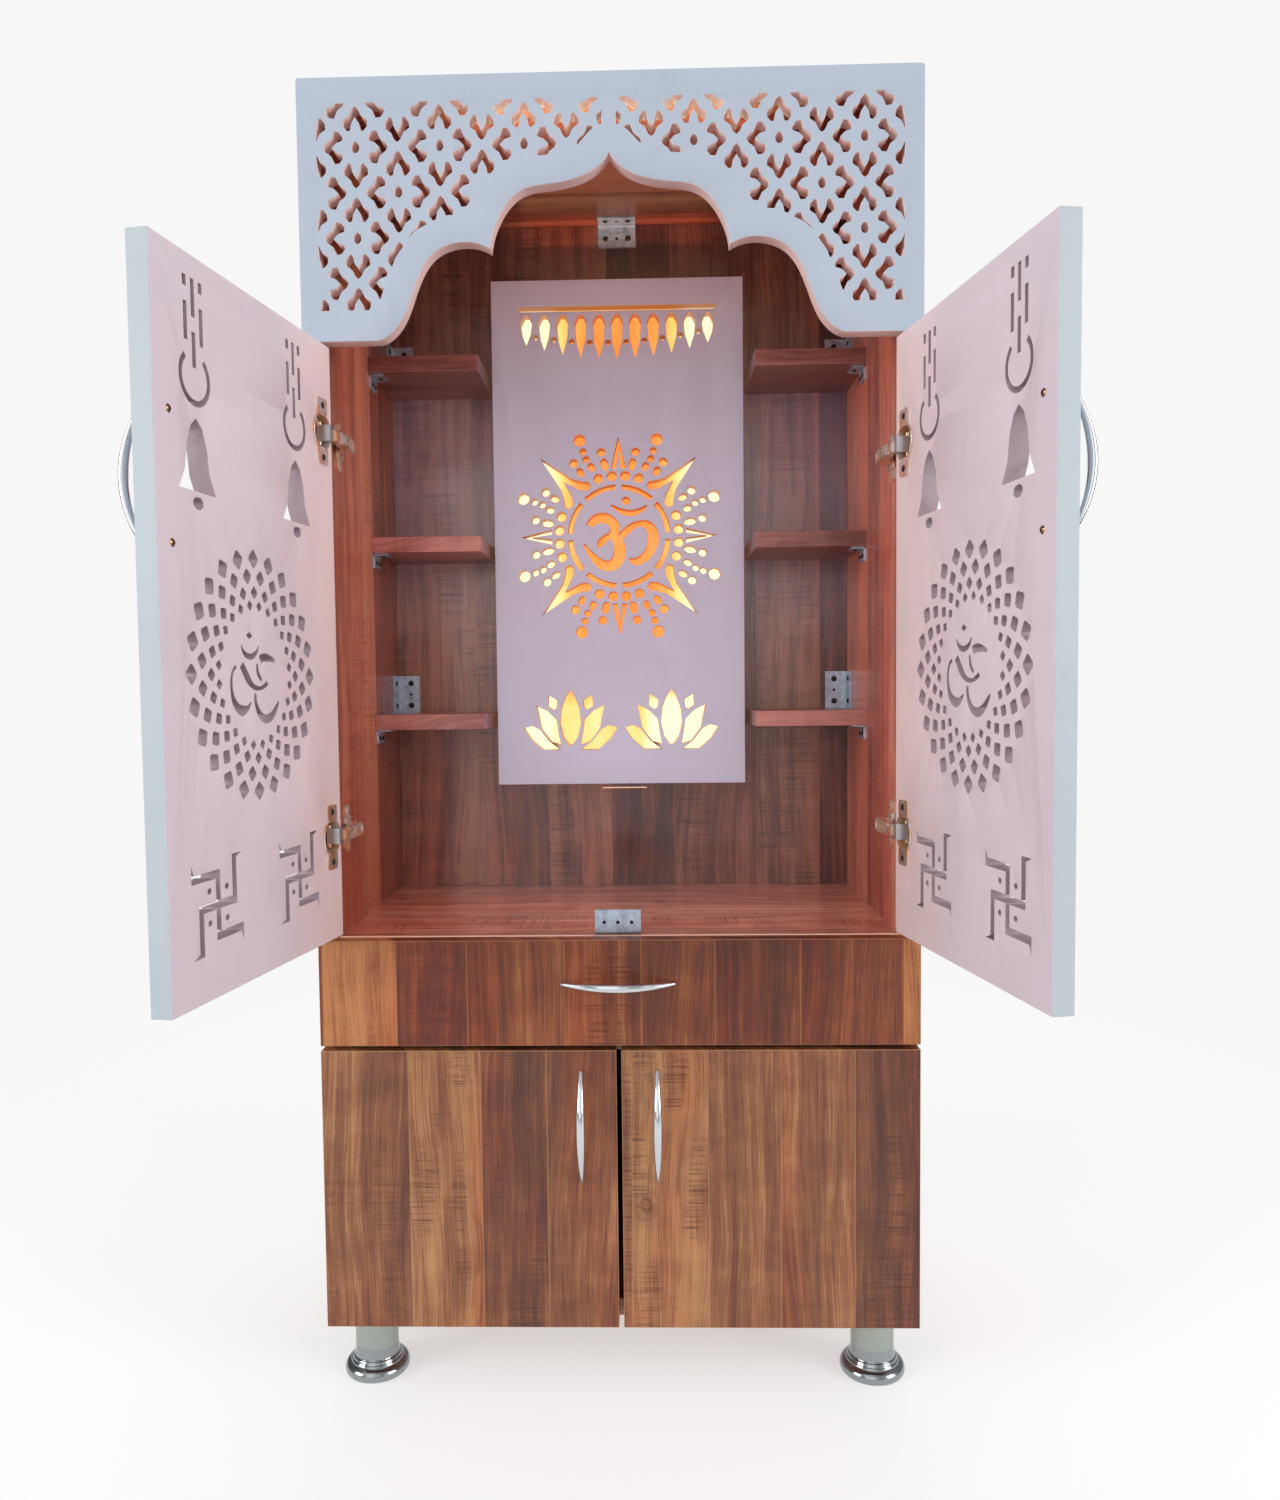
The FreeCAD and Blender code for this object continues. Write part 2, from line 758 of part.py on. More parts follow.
def lower_doors():
    high = drawer_line - reveal / 2
    outer_face = front_face_inner - board
    arms = []
    for side, word in ((-1, "left"), (1, "right")):
        leaf = box(-front_half, -front_half + door_width, outer_face, front_face_inner, 0, high)
        cups = []
        for height in (base_hinge_margin, high - base_hinge_margin):
            leaf = leaf.cut(cup_bore(-front_half, front_face_inner, height))
            cups.append(hinge_cup(-front_half, front_face_inner, height))
            arms.append(mirrored(hinge_arm(-front_half, front_face_inner, height, shrine_arm_face()), side))
        pull = moved(handle(), -reveal / 2 - lower_handle_inset, outer_face, high - lower_handle_drop)
        name = word + "_lower_door"
        place(name, [mirrored(leaf, side)])
        place(name + "_handle", [mirrored(pull, side)])
        place(name + "_hinge_cups", [mirrored(cup, side) for cup in cups])
    place("lower_hinge_arms", arms)


def channel(depth, height, lap_side):
    # A C section along Y, its back in the plane x = 0 and its lips towards lap_side
    runner_length = back_front - drawer_to_back - runner_to_drawer_end - carcass_front
    outer = box(0, depth, 0, runner_length, -height / 2, height / 2)
    hollow = box(
        runner_sheet, depth, 0, runner_length, -height / 2 + runner_sheet, height / 2 - runner_sheet
    )
    section = outer.cut(hollow)
    if lap_side < 0:
        section = section.mirror(Vector(0, 0, 0), Vector(1, 0, 0))
    return section


def drawer():
    low = drawer_line + reveal / 2
    outer_face = front_face_inner - board
    front = box(-front_half, front_half, outer_face, front_face_inner, low, shrine_line)
    place("drawer_front", [front])
    bottom = drawer_line + board / 2 + drawer_lift
    top = bottom + drawer_side_height
    wide = inner_half - runner_depth
    back = back_front - drawer_to_back
    groove = drawer_side / 2
    base_low = bottom + drawer_groove_up
    base_high = base_low + drawer_bottom_thickness
    base_half = wide - groove
    base = box(-base_half, base_half, front_face_inner, back - drawer_side, base_low, base_high)
    place("drawer_bottom", [base])
    runner_z = (bottom + top) / 2
    fixed = []
    moving = []
    for side, word in ((-1, "left"), (1, "right")):
        wall = box(-wide, -wide + drawer_side, front_face_inner, back, bottom, top).cut(base)
        place("drawer_" + word + "_side", [mirrored(wall, side)])
        rail = channel(runner_depth - runner_sheet, runner_height, 1)
        outer = moved(rail, -inner_half, carcass_front, runner_z)
        slide_height = runner_height - 2 * (runner_sheet + touch)
        slide = channel(runner_depth - runner_lap / 2, slide_height, -1)
        inner = moved(slide, -wide, carcass_front, runner_z)
        fixed.append(mirrored(outer, side))
        moving.append(mirrored(inner, side))
    place("drawer_rails", fixed)
    place("drawer_slides", moving)
    back_wall = box(-wide + drawer_side, wide - drawer_side, back - drawer_side, back, bottom, top)
    place("drawer_back", [back_wall])
    pull = turned(handle(), Vector(0, 1, 0), 90)
    place("drawer_handle", [moved(pull, 0, outer_face, shrine_line - drawer_handle_drop)])


def leg():
    # Turned profile from the floor up to the plate under the cabinet
    outline = [
        Vector(0, 0, 0),
        Vector(foot_radius - 4, 0, 0),
        Vector(foot_radius, 0, foot_height / 3),
        Vector(foot_radius - 1, 0, foot_height * 0.75),
        Vector(foot_radius - 6, 0, foot_height),
        Vector(leg_radius + 2, 0, foot_height + foot_flare * 0.35),
        Vector(leg_radius, 0, foot_height + foot_flare),
        Vector(leg_radius, 0, leg_height - leg_plate_thickness),
        Vector(leg_plate_radius, 0, leg_height - leg_plate_thickness),
        Vector(leg_plate_radius, 0, leg_height),
        Vector(leg_radius - leg_wall, 0, leg_height),
        Vector(leg_radius - leg_wall, 0, foot_height),
        Vector(0, 0, foot_height),
        Vector(0, 0, 0),
    ]
    return Part.Face(Part.makePolygon(outline)).revolve(Vector(0, 0, 0), Vector(0, 0, 1), 360)


def legs():
    rows = (
        ("front", carcass_front + leg_inset_front),
        ("back", carcass_back - leg_inset_back),
    )
    for row, y in rows:
        for side, word in ((-1, "left"), (1, "right")):
            x = side * (half_width - leg_inset_side)
            place(row + "_" + word + "_leg", [moved(leg(), x, y, -leg_height)])


def main():
    os.makedirs("parts", exist_ok=True)
    carcass()
    arch_panel()
    lit_panel()
    shelves()
    corner_brackets()
    shelf_supports()
    shrine_doors()
    lower_doors()
    drawer()
    legs()


main()
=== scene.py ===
import math

import bmesh
import bpy
from mathutils import Matrix, Vector


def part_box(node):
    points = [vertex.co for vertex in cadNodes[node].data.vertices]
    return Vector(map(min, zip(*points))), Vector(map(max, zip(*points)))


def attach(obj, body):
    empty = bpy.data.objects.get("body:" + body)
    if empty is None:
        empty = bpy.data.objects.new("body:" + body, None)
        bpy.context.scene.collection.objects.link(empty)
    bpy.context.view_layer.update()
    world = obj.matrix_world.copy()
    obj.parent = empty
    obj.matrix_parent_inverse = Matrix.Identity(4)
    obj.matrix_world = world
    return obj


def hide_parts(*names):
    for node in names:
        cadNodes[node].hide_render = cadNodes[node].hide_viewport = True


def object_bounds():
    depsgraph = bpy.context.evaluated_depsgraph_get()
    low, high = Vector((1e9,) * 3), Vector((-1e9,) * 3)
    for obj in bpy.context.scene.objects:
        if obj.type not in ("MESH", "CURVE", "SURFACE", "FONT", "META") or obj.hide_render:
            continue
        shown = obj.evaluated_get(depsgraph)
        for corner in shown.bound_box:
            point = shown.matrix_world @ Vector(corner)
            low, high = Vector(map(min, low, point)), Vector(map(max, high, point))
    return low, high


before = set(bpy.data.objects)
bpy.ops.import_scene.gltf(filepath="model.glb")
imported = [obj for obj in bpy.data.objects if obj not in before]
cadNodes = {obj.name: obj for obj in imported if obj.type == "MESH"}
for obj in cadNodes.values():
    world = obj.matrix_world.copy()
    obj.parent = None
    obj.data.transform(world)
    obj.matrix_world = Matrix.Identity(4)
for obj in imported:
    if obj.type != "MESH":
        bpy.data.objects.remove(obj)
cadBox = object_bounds()
print("frame loaded:", len(cadNodes), "nodes")

# Places below are in millimetres: x to the right, y inwards from the arch panel's face,
# z up from the underside
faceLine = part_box("arch_panel")[0][1]
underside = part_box("base_panel")[0][2]
toFrame = Matrix.Translation((0, faceLine, underside)) @ Matrix.Scale(0.001, 4)
mirrorX = Matrix.Scale(-1, 4, (1, 0, 0))

openAngle = 99.5
shrineHinge = Vector((-293.2, -3.0, 0))
swingLeft = (Matrix.Translation(shrineHinge) @ Matrix.Rotation(math.radians(-openAngle), 4, "Z")
             @ Matrix.Translation(-shrineHinge))
still = Matrix.Identity(4)
sideMatrix = {"left": still, "right": mirrorX}
leafBody = {"left": "left_shrine_leaf", "right": "right_shrine_leaf"}
lowerBody = {"left": "left_lower_leaf", "right": "right_lower_leaf"}


def camelName(node):
    first, *rest = node.split("_")
    return first + "".join(word.capitalize() for word in rest)


def placeObject(name, data):
    made = bpy.data.objects.new(name, data)
    bpy.context.scene.collection.objects.link(made)
    return made


def applyModifiers(piece):
    graph = bpy.context.evaluated_depsgraph_get()
    piece.data = bpy.data.meshes.new_from_object(piece.evaluated_get(graph))
    piece.modifiers.clear()


# small helpers for node trees

def srgb(red, green, blue):
    def linear(value):
        value = value / 255
        return value / 12.92 if value <= 0.04045 else ((value + 0.055) / 1.055) ** 2.4
    return (linear(red), linear(green), linear(blue), 1)


def shade(color, factor):
    return tuple(part * factor for part in color[:3]) + (1,)


def addNode(tree, kind, values=None, **settings):
    node = tree.nodes.new(kind)
    for key, value in settings.items():
        setattr(node, key, value)
    for key, value in (values or {}).items():
        if isinstance(value, bpy.types.NodeSocket):
            tree.links.new(value, node.inputs[key])
        else:
            node.inputs[key].default_value = value
    return node


def calc(tree, operation, first, second=0.0, third=0.0, clamp=False):
    values = {0: first, 1: second, 2: third}
    return addNode(tree, "ShaderNodeMath", values, operation=operation, use_clamp=clamp).outputs[0]


def mixColor(tree, factor, first, second, blend="MIX"):
    values = {0: factor, 6: first, 7: second}
    return addNode(tree, "ShaderNodeMix", values, data_type="RGBA", blend_type=blend).outputs[2]


def smoothStep(tree, value, low, high):
    values = {"Value": value, "From Min": low, "From Max": high}
    return addNode(tree, "ShaderNodeMapRange", values, interpolation_type="SMOOTHSTEP").outputs[0]


def ramp(tree, factor, stops):
    node = addNode(tree, "ShaderNodeValToRGB", {0: factor})
    elements = node.color_ramp.elements
    while len(elements) < len(stops):
        elements.new(0.5)
    for element, (place, color) in zip(elements, stops):
        element.position = place
        element.color = color
    return node.outputs[0]


def noise(tree, vector, stretch, detail=2.0, roughness=0.5):
    values = {0: vector, 1: stretch}
    scaled = addNode(tree, "ShaderNodeVectorMath", values, operation="MULTIPLY").outputs[0]
    values = {"Vector": scaled, "Scale": 1.0, "Detail": detail, "Roughness": roughness}
    return addNode(tree, "ShaderNodeTexNoise", values).outputs[0]


def alongAxis(tree, vector, axis):
    return addNode(tree, "ShaderNodeVectorMath", {0: vector, 1: axis}, operation="DOT_PRODUCT").outputs[1]


def startMaterial(name, roughness, metallic=0.0):
    material = bpy.data.materials.new(name)
    material.use_nodes = True
    tree = material.node_tree
    tree.nodes.clear()
    shader = addNode(tree, "ShaderNodeBsdfPrincipled", {"Roughness": roughness, "Metallic": metallic})
    output = addNode(tree, "ShaderNodeOutputMaterial")
    tree.links.new(shader.outputs[0], output.inputs[0])
    place = addNode(tree, "ShaderNodeTexCoord")
    return material, tree, shader, place


def addBump(tree, shader, height, strength, distance=0.001):
    values = {"Height": height, "Strength": strength, "Distance": distance}
    bump = addNode(tree, "ShaderNodeBump", values)
    tree.links.new(bump.outputs[0], shader.inputs["Normal"])


# walnut laminate: wide strips, soft bands inside them, fine streaks, pores and crosswise saw marks, with a
# painted reflection on the back panel and a painted highlight along the edges

# the tones of each wood, from dark to light
walnutTones = {
    "front": (srgb(74, 37, 31), srgb(117, 68, 46), srgb(152, 97, 64), srgb(200, 147, 99)),
    "drawer": (srgb(76, 30, 18), srgb(124, 60, 33), srgb(158, 88, 50), srgb(204, 138, 86)),
    "side": (srgb(84, 32, 21), srgb(135, 67, 49), srgb(163, 87, 65), srgb(192, 117, 88)),
    "back": (srgb(38, 14, 11), srgb(76, 36, 29), srgb(111, 60, 49), srgb(150, 97, 77)),
    # sideRight: the side tones made lighter for the right side panel, painted light where that side is lit more
    "sideRight": (srgb(106, 46, 35), srgb(165, 92, 76), srgb(195, 116, 95), srgb(222, 148, 121)),
    "floor": (srgb(96, 40, 28), srgb(184, 106, 86), srgb(220, 146, 124), srgb(250, 200, 178)),
    "shelf": (srgb(78, 36, 30), srgb(116, 64, 56), srgb(136, 81, 74), srgb(164, 109, 101)),
}

# how a board is cut: the ways across its strips and along its grain, the width of a strip, its gloss, and the
# strength of its saw marks and seams, and of the painted highlight, a pale line, along its softened edges
doorCut = {"across": (1, 0.6, 0), "along": (0, 0, 1), "strip": 0.085, "gloss": 0.38,
           "saw": 1.0, "seams": 1.0, "lines": 0.8}
sideCut = {"across": (0.2, 1, 0), "along": (0, 0, 1), "strip": 0.085, "gloss": 0.36,
           "saw": 0.6, "seams": 0.5, "lines": 0.3}
levelCut = {"across": (0, 1, 0.35), "along": (1, 0, 0), "strip": 0.09, "gloss": 0.36,
            "saw": 0.3, "seams": 0.5, "lines": 0.3}
woodKinds = {
    "door": dict(doorCut, tones="front", coat=0.1),
    "drawer": dict(doorCut, tones="drawer", coat=0.1),
    "leftSide": dict(sideCut, tones="side", coat=0.3),
    "rightSide": dict(sideCut, tones="sideRight", coat=0.3),
    "back": dict(sideCut, across=(1, 0.2, 0), strip=0.09, gloss=0.3, saw=0.8, lines=0.0, tones="back",
                 coat=1.0),
    "top": dict(levelCut, tones="side", coat=0.3),
    "floor": dict(levelCut, gloss=0.3, saw=1.0, seams=0.8, lines=1.0, tones="floor", coat=0.9),
    "inner": dict(levelCut, gloss=0.4, tones="floor", coat=0.9),
    "shelf": dict(levelCut, tones="shelf", coat=0.3),
}

# noise layers: repeats a metre across, along and from strip to strip, then detail and roughness
grainLayers = {
    "wander": ((5, 2.4, 1), 2.0, 0.5),
    "bands": ((30, 1.1, 1), 3.0, 0.62),
    "streaks": ((170, 2.6, 1), 3.0, 0.6),
    "fibre": ((820, 18, 1), 3.0, 0.6),
    "rings": ((16, 0.9, 1), 1.5, 0.5),
    "mottle": ((22, 34, 1), 3.0, 0.6),
    "flush": ((10, 1.6, 3), 2.0, 0.5),
    "pores": ((1500, 44, 1), 1.0, 0.5),
    "cuts": ((9, 400, 1), 4.0, 0.8),
    "patches": ((24, 6.0, 1), 3.0, 0.5),
    "knot": ((90, 90, 1), 3.0, 0.5),
    # haze: the cloudy noise in the back panel's painted reflection
    "haze": ((9, 9, 6), 3.0, 0.5),
}
# how far from nothing to full a layer fades in
layerEdges = {"flush": (0.45, 0.62), "pores": (0.62, 0.72), "cuts": (0.48, 0.62), "patches": (0.48, 0.58)}
bandShares = {"strip": 0.30, "bands": 0.44, "streaks": 0.25, "fibre": 0.42, "rings": 0.07, "mottle": 0.18}
figure = {
    "coatRoughness": 0.18,
    "stripJitter": 0.8,
    "shift": 7.0,
    "wander": 0.05,
    "ringRate": 60.0,
    "toneEdges": (0.5, 1.08),
    "toneStops": (0.0, 0.34, 0.64, 1.0),
    "flush": 0.55,
    "flushTone": srgb(255, 196, 176),
    "sawChance": (0.3, 0.5),
    "sawDepth": 0.68,
    "poreDepth": 0.16,
    "seamEdges": (0.004, 0.012),
    "seam": 0.4,
    "bandGloss": 0.16,
    "darkGloss": 0.2,
    "darkHeight": 1.4,
    "bump": (0.2, 0.0004),
}
# a painted reflection: a pale greyish veil on the back panel between these heights, in metres above the floor,
# stands in for the glossy laminate mirroring the bright room
backReflection = {"start": 0.74, "full": 0.9, "fade": 1.08, "end": 1.18, "share": 0.38,
              "cloud": (1.2, -0.1), "color": srgb(160, 150, 174)}
# a small knot low on the right door: its place, its reach and how often it rings
doorKnot = {"x": 0.026, "z": 0.203, "squeeze": 1.4, "reach": 0.026, "rings": 16.0, "unevenness": 7.0,
            "ringTone": (0.35, 0.5), "fade": (1.0, 0.15), "depth": 0.75}


def knotRings(tree, point, straight, knot):
    sideways = calc(tree, "SUBTRACT", alongAxis(tree, point, (1, 0, 0)), knot["x"])
    sideways = calc(tree, "MULTIPLY", sideways, knot["squeeze"])
    upwards = calc(tree, "SUBTRACT", alongAxis(tree, point, (0, 0, 1)), knot["z"])
    upwards = calc(tree, "POWER", upwards, 2.0)
    far = calc(tree, "SQRT", calc(tree, "MULTIPLY_ADD", sideways, sideways, upwards))
    far = calc(tree, "DIVIDE", far, knot["reach"])
    uneven = calc(tree, "MULTIPLY", noise(tree, straight, *grainLayers["knot"]), knot["unevenness"])
    rung = calc(tree, "SINE", calc(tree, "MULTIPLY_ADD", far, knot["rings"], uneven))
    rung = calc(tree, "MULTIPLY_ADD", rung, *knot["ringTone"])
    fading = smoothStep(tree, far, *knot["fade"])
    return calc(tree, "MULTIPLY", fading, calc(tree, "MULTIPLY", rung, knot["depth"]))


# mask of the back panel's painted reflection: between two heights, broken by cloudy noise
def paintedReflection(tree, point, spec):
    high = alongAxis(tree, point, (0, 0, 1))
    haze = calc(tree, "MULTIPLY", smoothStep(tree, high, spec["start"], spec["full"]),
                smoothStep(tree, high, spec["end"], spec["fade"]))
    cloud = calc(tree, "MULTIPLY_ADD", noise(tree, point, *grainLayers["haze"]), *spec["cloud"])
    return calc(tree, "MULTIPLY", calc(tree, "MULTIPLY", haze, cloud), spec["share"])


def walnut(name, kind, seed, knot=None):
    wood = woodKinds[kind]
    tones = walnutTones[wood["tones"]]
    material, tree, shader, place = startMaterial(name, wood["gloss"])
    shader.inputs["Coat Weight"].default_value = wood["coat"]
    shader.inputs["Coat Roughness"].default_value = figure["coatRoughness"]
    point = place.outputs["Object"]

    def layer(key, where):
        return noise(tree, where, *grainLayers[key])

    def softLayer(key, where):
        return smoothStep(tree, layer(key, where), *layerEdges[key])

    # each strip draws its own tone, a shift along the grain, and whether the saw marked it
    u = calc(tree, "ADD", alongAxis(tree, point, wood["across"]), seed)
    v = alongAxis(tree, point, wood["along"])
    strips = {"W": calc(tree, "DIVIDE", u, wood["strip"]), "Scale": 1.0, "Randomness": figure["stripJitter"]}
    cell = addNode(tree, "ShaderNodeTexVoronoi", strips, voronoi_dimensions="1D")
    seam = addNode(tree, "ShaderNodeTexVoronoi", strips, voronoi_dimensions="1D", feature="DISTANCE_TO_EDGE")
    chance = addNode(tree, "ShaderNodeSeparateColor", {0: cell.outputs["Color"]})
    toneChance, shiftChance, sawChance = chance.outputs
    shifted = calc(tree, "ADD", v, calc(tree, "MULTIPLY", shiftChance, figure["shift"]))
    straight = addNode(tree, "ShaderNodeCombineXYZ", {0: u, 1: shifted, 2: toneChance}).outputs[0]
    wander = calc(tree, "MULTIPLY_ADD", layer("wander", straight), figure["wander"], -figure["wander"] / 2)
    bent = calc(tree, "ADD", u, wander)
    grain = addNode(tree, "ShaderNodeCombineXYZ", {0: bent, 1: shifted, 2: toneChance}).outputs[0]

    parts = {key: layer(key, grain) for key in ("bands", "streaks", "fibre")}
    ringWalk = calc(tree, "MULTIPLY", layer("rings", grain), figure["ringRate"])
    parts["rings"] = calc(tree, "MULTIPLY_ADD", calc(tree, "SINE", ringWalk), 0.5, 0.5)
    parts["mottle"] = layer("mottle", straight)
    tone = calc(tree, "MULTIPLY", toneChance, bandShares["strip"])
    for key, part in parts.items():
        tone = calc(tree, "MULTIPLY_ADD", part, bandShares[key], tone)
    tone = smoothStep(tree, tone, *figure["toneEdges"])
    color = ramp(tree, tone, tuple(zip(figure["toneStops"], tones)))
    flush = calc(tree, "MULTIPLY", softLayer("flush", straight), figure["flush"])
    color = mixColor(tree, flush, color, figure["flushTone"], "MULTIPLY")

    pores = softLayer("pores", grain)
    sawn = calc(tree, "MULTIPLY", softLayer("cuts", straight), softLayer("patches", straight))
    sawn = calc(tree, "MULTIPLY", sawn, smoothStep(tree, sawChance, *figure["sawChance"]))
    sawn = calc(tree, "MULTIPLY", sawn, figure["sawDepth"] * wood["saw"])
    if knot:
        sawn = calc(tree, "MAXIMUM", sawn, knotRings(tree, point, straight, knot))
    darken = calc(tree, "MULTIPLY_ADD", pores, figure["poreDepth"], sawn, clamp=True)
    color = mixColor(tree, darken, color, tones[0])
    joint = calc(tree, "SUBTRACT", 1.0, smoothStep(tree, seam.outputs["Distance"], *figure["seamEdges"]))
    color = mixColor(tree, calc(tree, "MULTIPLY", joint, figure["seam"] * wood["seams"]), color, tones[-1])
    # the back panel takes its painted reflection, a pale greyish veil
    if kind == "back":
        color = mixColor(tree, paintedReflection(tree, point, backReflection), color, backReflection["color"])
    # a painted highlight: the softened edges, and the floor's front lipping, turn to the lightest tone
    if wood["lines"]:
        border = addNode(tree, "ShaderNodeAttribute", attribute_name="edgeBand").outputs["Fac"]
        color = mixColor(tree, calc(tree, "MULTIPLY", border, wood["lines"]), color, tones[-1])
    tree.links.new(color, shader.inputs["Base Color"])
    gloss = wood["gloss"] - figure["bandGloss"] / 2
    roughness = calc(tree, "MULTIPLY_ADD", parts["bands"], figure["bandGloss"], gloss)
    roughness = calc(tree, "MULTIPLY_ADD", darken, figure["darkGloss"], roughness)
    tree.links.new(roughness, shader.inputs["Roughness"])
    height = calc(tree, "SUBTRACT", parts["fibre"], calc(tree, "MULTIPLY", darken, figure["darkHeight"]))
    addBump(tree, shader, height, *figure["bump"])
    return material


# painted board: the faces, the outer edges and the routed walls each have their own tone; the inner face's
# tone, its tints and the walls' tone carry painted warm light

paintColors = {
    "front": srgb(189, 200, 216),
    # inside: paler and pinker than the front, painted warm bounce light on the inner faces; insideWarm:
    # stronger painted warm light near the doors' hinges
    "inside": srgb(233, 219, 228),
    "insideWarm": srgb(255, 230, 228),
    # wall: pinker, painted warm light on the doors' routed walls
    "wall": srgb(190, 168, 176),
    "outerEdge": srgb(203, 214, 220),
    # archWall: the arch's routed walls, lightened and pinked as painted warm light
    "archWall": srgb(250, 222, 216),
    "panelFace": srgb(166, 156, 174),
    # panelLow and panelWarm: a paler foot and a warm top on the lit panel, painted light; panelWall: the orange
    # walls of its cut-outs, painted glow from the sheet behind
    "panelLow": srgb(179, 175, 196),
    "panelWarm": srgb(205, 186, 199),
    "panelWall": srgb(224, 160, 116),
}
paintSpec = {
    "faceEdges": (0.6, 0.9),
    "turnEdges": (-0.1, 0.1),
    "rim": 0.0004,
    "peel": ((620, 620, 620), 2.0, 0.5),
    "gloss": 0.34,
    "smudgeGloss": 0.1,
    "peelGloss": 0.14,
    "bump": (0.12, 0.0004),
    "cloudShade": 0.8,
}
# marks on the paint: noise layer, where it fades in, share, and tone (none takes the paint's own, darker)
paintMarks = {
    "cloud": (((7, 7, 7), 4.0, 0.6), (0.35, 0.75), 0.14, None),
    "smudge": (((40, 40, 14), 3.0, 0.7), (0.56, 0.74), 0.08, srgb(150, 128, 132)),
    "speck": (((420, 420, 420), 2.0, 0.5), (0.72, 0.8), 0.12, srgb(120, 116, 126)),
}


def paintedBoard(name, faceWay, colors, outerEdge=(), tints=()):
    material, tree, shader, place = startMaterial(name, 0.42)
    point = place.outputs["Object"]
    facing = alongAxis(tree, place.outputs["Normal"], faceWay)
    onFace = smoothStep(tree, calc(tree, "ABSOLUTE", facing), *paintSpec["faceEdges"])
    outer, inner, wall = colors
    for axis, near, far, tint in tints:
        inner = mixColor(tree, smoothStep(tree, alongAxis(tree, point, axis), far, near), inner, tint)
    color = mixColor(tree, smoothStep(tree, facing, *paintSpec["turnEdges"]), inner, outer)
    beyond = None
    for axis, start in outerEdge:
        past = smoothStep(tree, alongAxis(tree, point, axis), start - paintSpec["rim"], start)
        beyond = past if beyond is None else calc(tree, "MAXIMUM", beyond, past)
    if beyond is not None:
        wall = mixColor(tree, beyond, wall, paintColors["outerEdge"])
    color = mixColor(tree, onFace, wall, color)
    marks = {}
    for key, (layer, edges, share, tone) in paintMarks.items():
        marks[key] = smoothStep(tree, noise(tree, point, *layer), *edges)
        color = mixColor(tree, calc(tree, "MULTIPLY", marks[key], share), color,
                         tone or shade(outer, paintSpec["cloudShade"]))
    tree.links.new(color, shader.inputs["Base Color"])
    peel = noise(tree, point, *paintSpec["peel"])
    gloss = calc(tree, "MULTIPLY_ADD", marks["smudge"], paintSpec["smudgeGloss"], paintSpec["gloss"])
    gloss = calc(tree, "MULTIPLY_ADD", peel, paintSpec["peelGloss"], gloss)
    tree.links.new(gloss, shader.inputs["Roughness"])
    addBump(tree, shader, peel, *paintSpec["bump"])
    return material


# metals: a cloudy tint and fine brushing, with warm patches where a warm tint is given; on the nickel these are
# a painted reflection of the warm wood and glow
metalSpec = {
    "cloud": ((60, 60, 60), 4.0, 0.6),
    "haze": 0.4,
    "dull": 0.78,
    "warmth": ((110, 110, 60), 2.0, 0.5),
    "warmEdges": (0.4, 0.58),
    "brushing": ((900, 900, 60), 3.0, 0.6),
    "bump": (0.03, 0.0002),
}


def polishedMetal(name, color, roughness, scratch=0.05, warm=None, metallic=1.0):
    material, tree, shader, place = startMaterial(name, roughness, metallic)
    point = place.outputs["Object"]
    cloud = calc(tree, "MULTIPLY", noise(tree, point, *metalSpec["cloud"]), metalSpec["haze"])
    tint = mixColor(tree, cloud, color, shade(color, metalSpec["dull"]))
    if warm:
        warmth = noise(tree, point, *metalSpec["warmth"])
        tint = mixColor(tree, smoothStep(tree, warmth, *metalSpec["warmEdges"]), tint, warm)
    tree.links.new(tint, shader.inputs["Base Color"])
    brushing = noise(tree, point, *metalSpec["brushing"])
    tree.links.new(calc(tree, "MULTIPLY_ADD", brushing, scratch, roughness - scratch / 2),
                   shader.inputs["Roughness"])
    addBump(tree, shader, brushing, *metalSpec["bump"])
    return material


zincSpec = {
    "spangle": (240, 240, 240),
    "tones": (srgb(172, 182, 198), srgb(200, 210, 226)),
    "stain": ((120, 120, 120), 3.0, 0.5),
    "stainEdges": (0.5, 0.7),
    "stainShare": 0.4,
    "stainTone": srgb(118, 116, 122),
    "gloss": (0.2, 0.3),
    "bump": (0.08, 0.0003),
}


def zincSheet(name, spec):
    material, tree, shader, place = startMaterial(name, 0.42, 0.85)
    point = place.outputs["Object"]
    values = {0: point, 1: spec["spangle"]}
    scaled = addNode(tree, "ShaderNodeVectorMath", values, operation="MULTIPLY").outputs[0]
    spangle = addNode(tree, "ShaderNodeTexVoronoi", {"Vector": scaled, "Scale": 1.0})
    value = addNode(tree, "ShaderNodeSeparateColor", {0: spangle.outputs["Color"]}).outputs[0]
    color = mixColor(tree, value, *spec["tones"])
    stain = smoothStep(tree, noise(tree, point, *spec["stain"]), *spec["stainEdges"])
    color = mixColor(tree, calc(tree, "MULTIPLY", stain, spec["stainShare"]), color, spec["stainTone"])
    tree.links.new(color, shader.inputs["Base Color"])
    tree.links.new(calc(tree, "MULTIPLY_ADD", value, *spec["gloss"]), shader.inputs["Roughness"])
    addBump(tree, shader, value, *spec["bump"])
    return material


plainSpec = {"layer": (4.0, 0.6), "edges": (0.3, 0.7), "dark": 0.72, "gloss": (0.2, 0.5), "bump": (0.2, 0.0004)}


def plainBoard(name, color, grainWay):
    material, tree, shader, place = startMaterial(name, 0.62)
    streak = noise(tree, place.outputs["Object"], grainWay, *plainSpec["layer"])
    light = smoothStep(tree, streak, *plainSpec["edges"])
    mixed = mixColor(tree, light, shade(color, plainSpec["dark"]), color)
    tree.links.new(mixed, shader.inputs["Base Color"])
    tree.links.new(calc(tree, "MULTIPLY_ADD", streak, *plainSpec["gloss"]), shader.inputs["Roughness"])
    addBump(tree, shader, streak, *plainSpec["bump"])
    return material


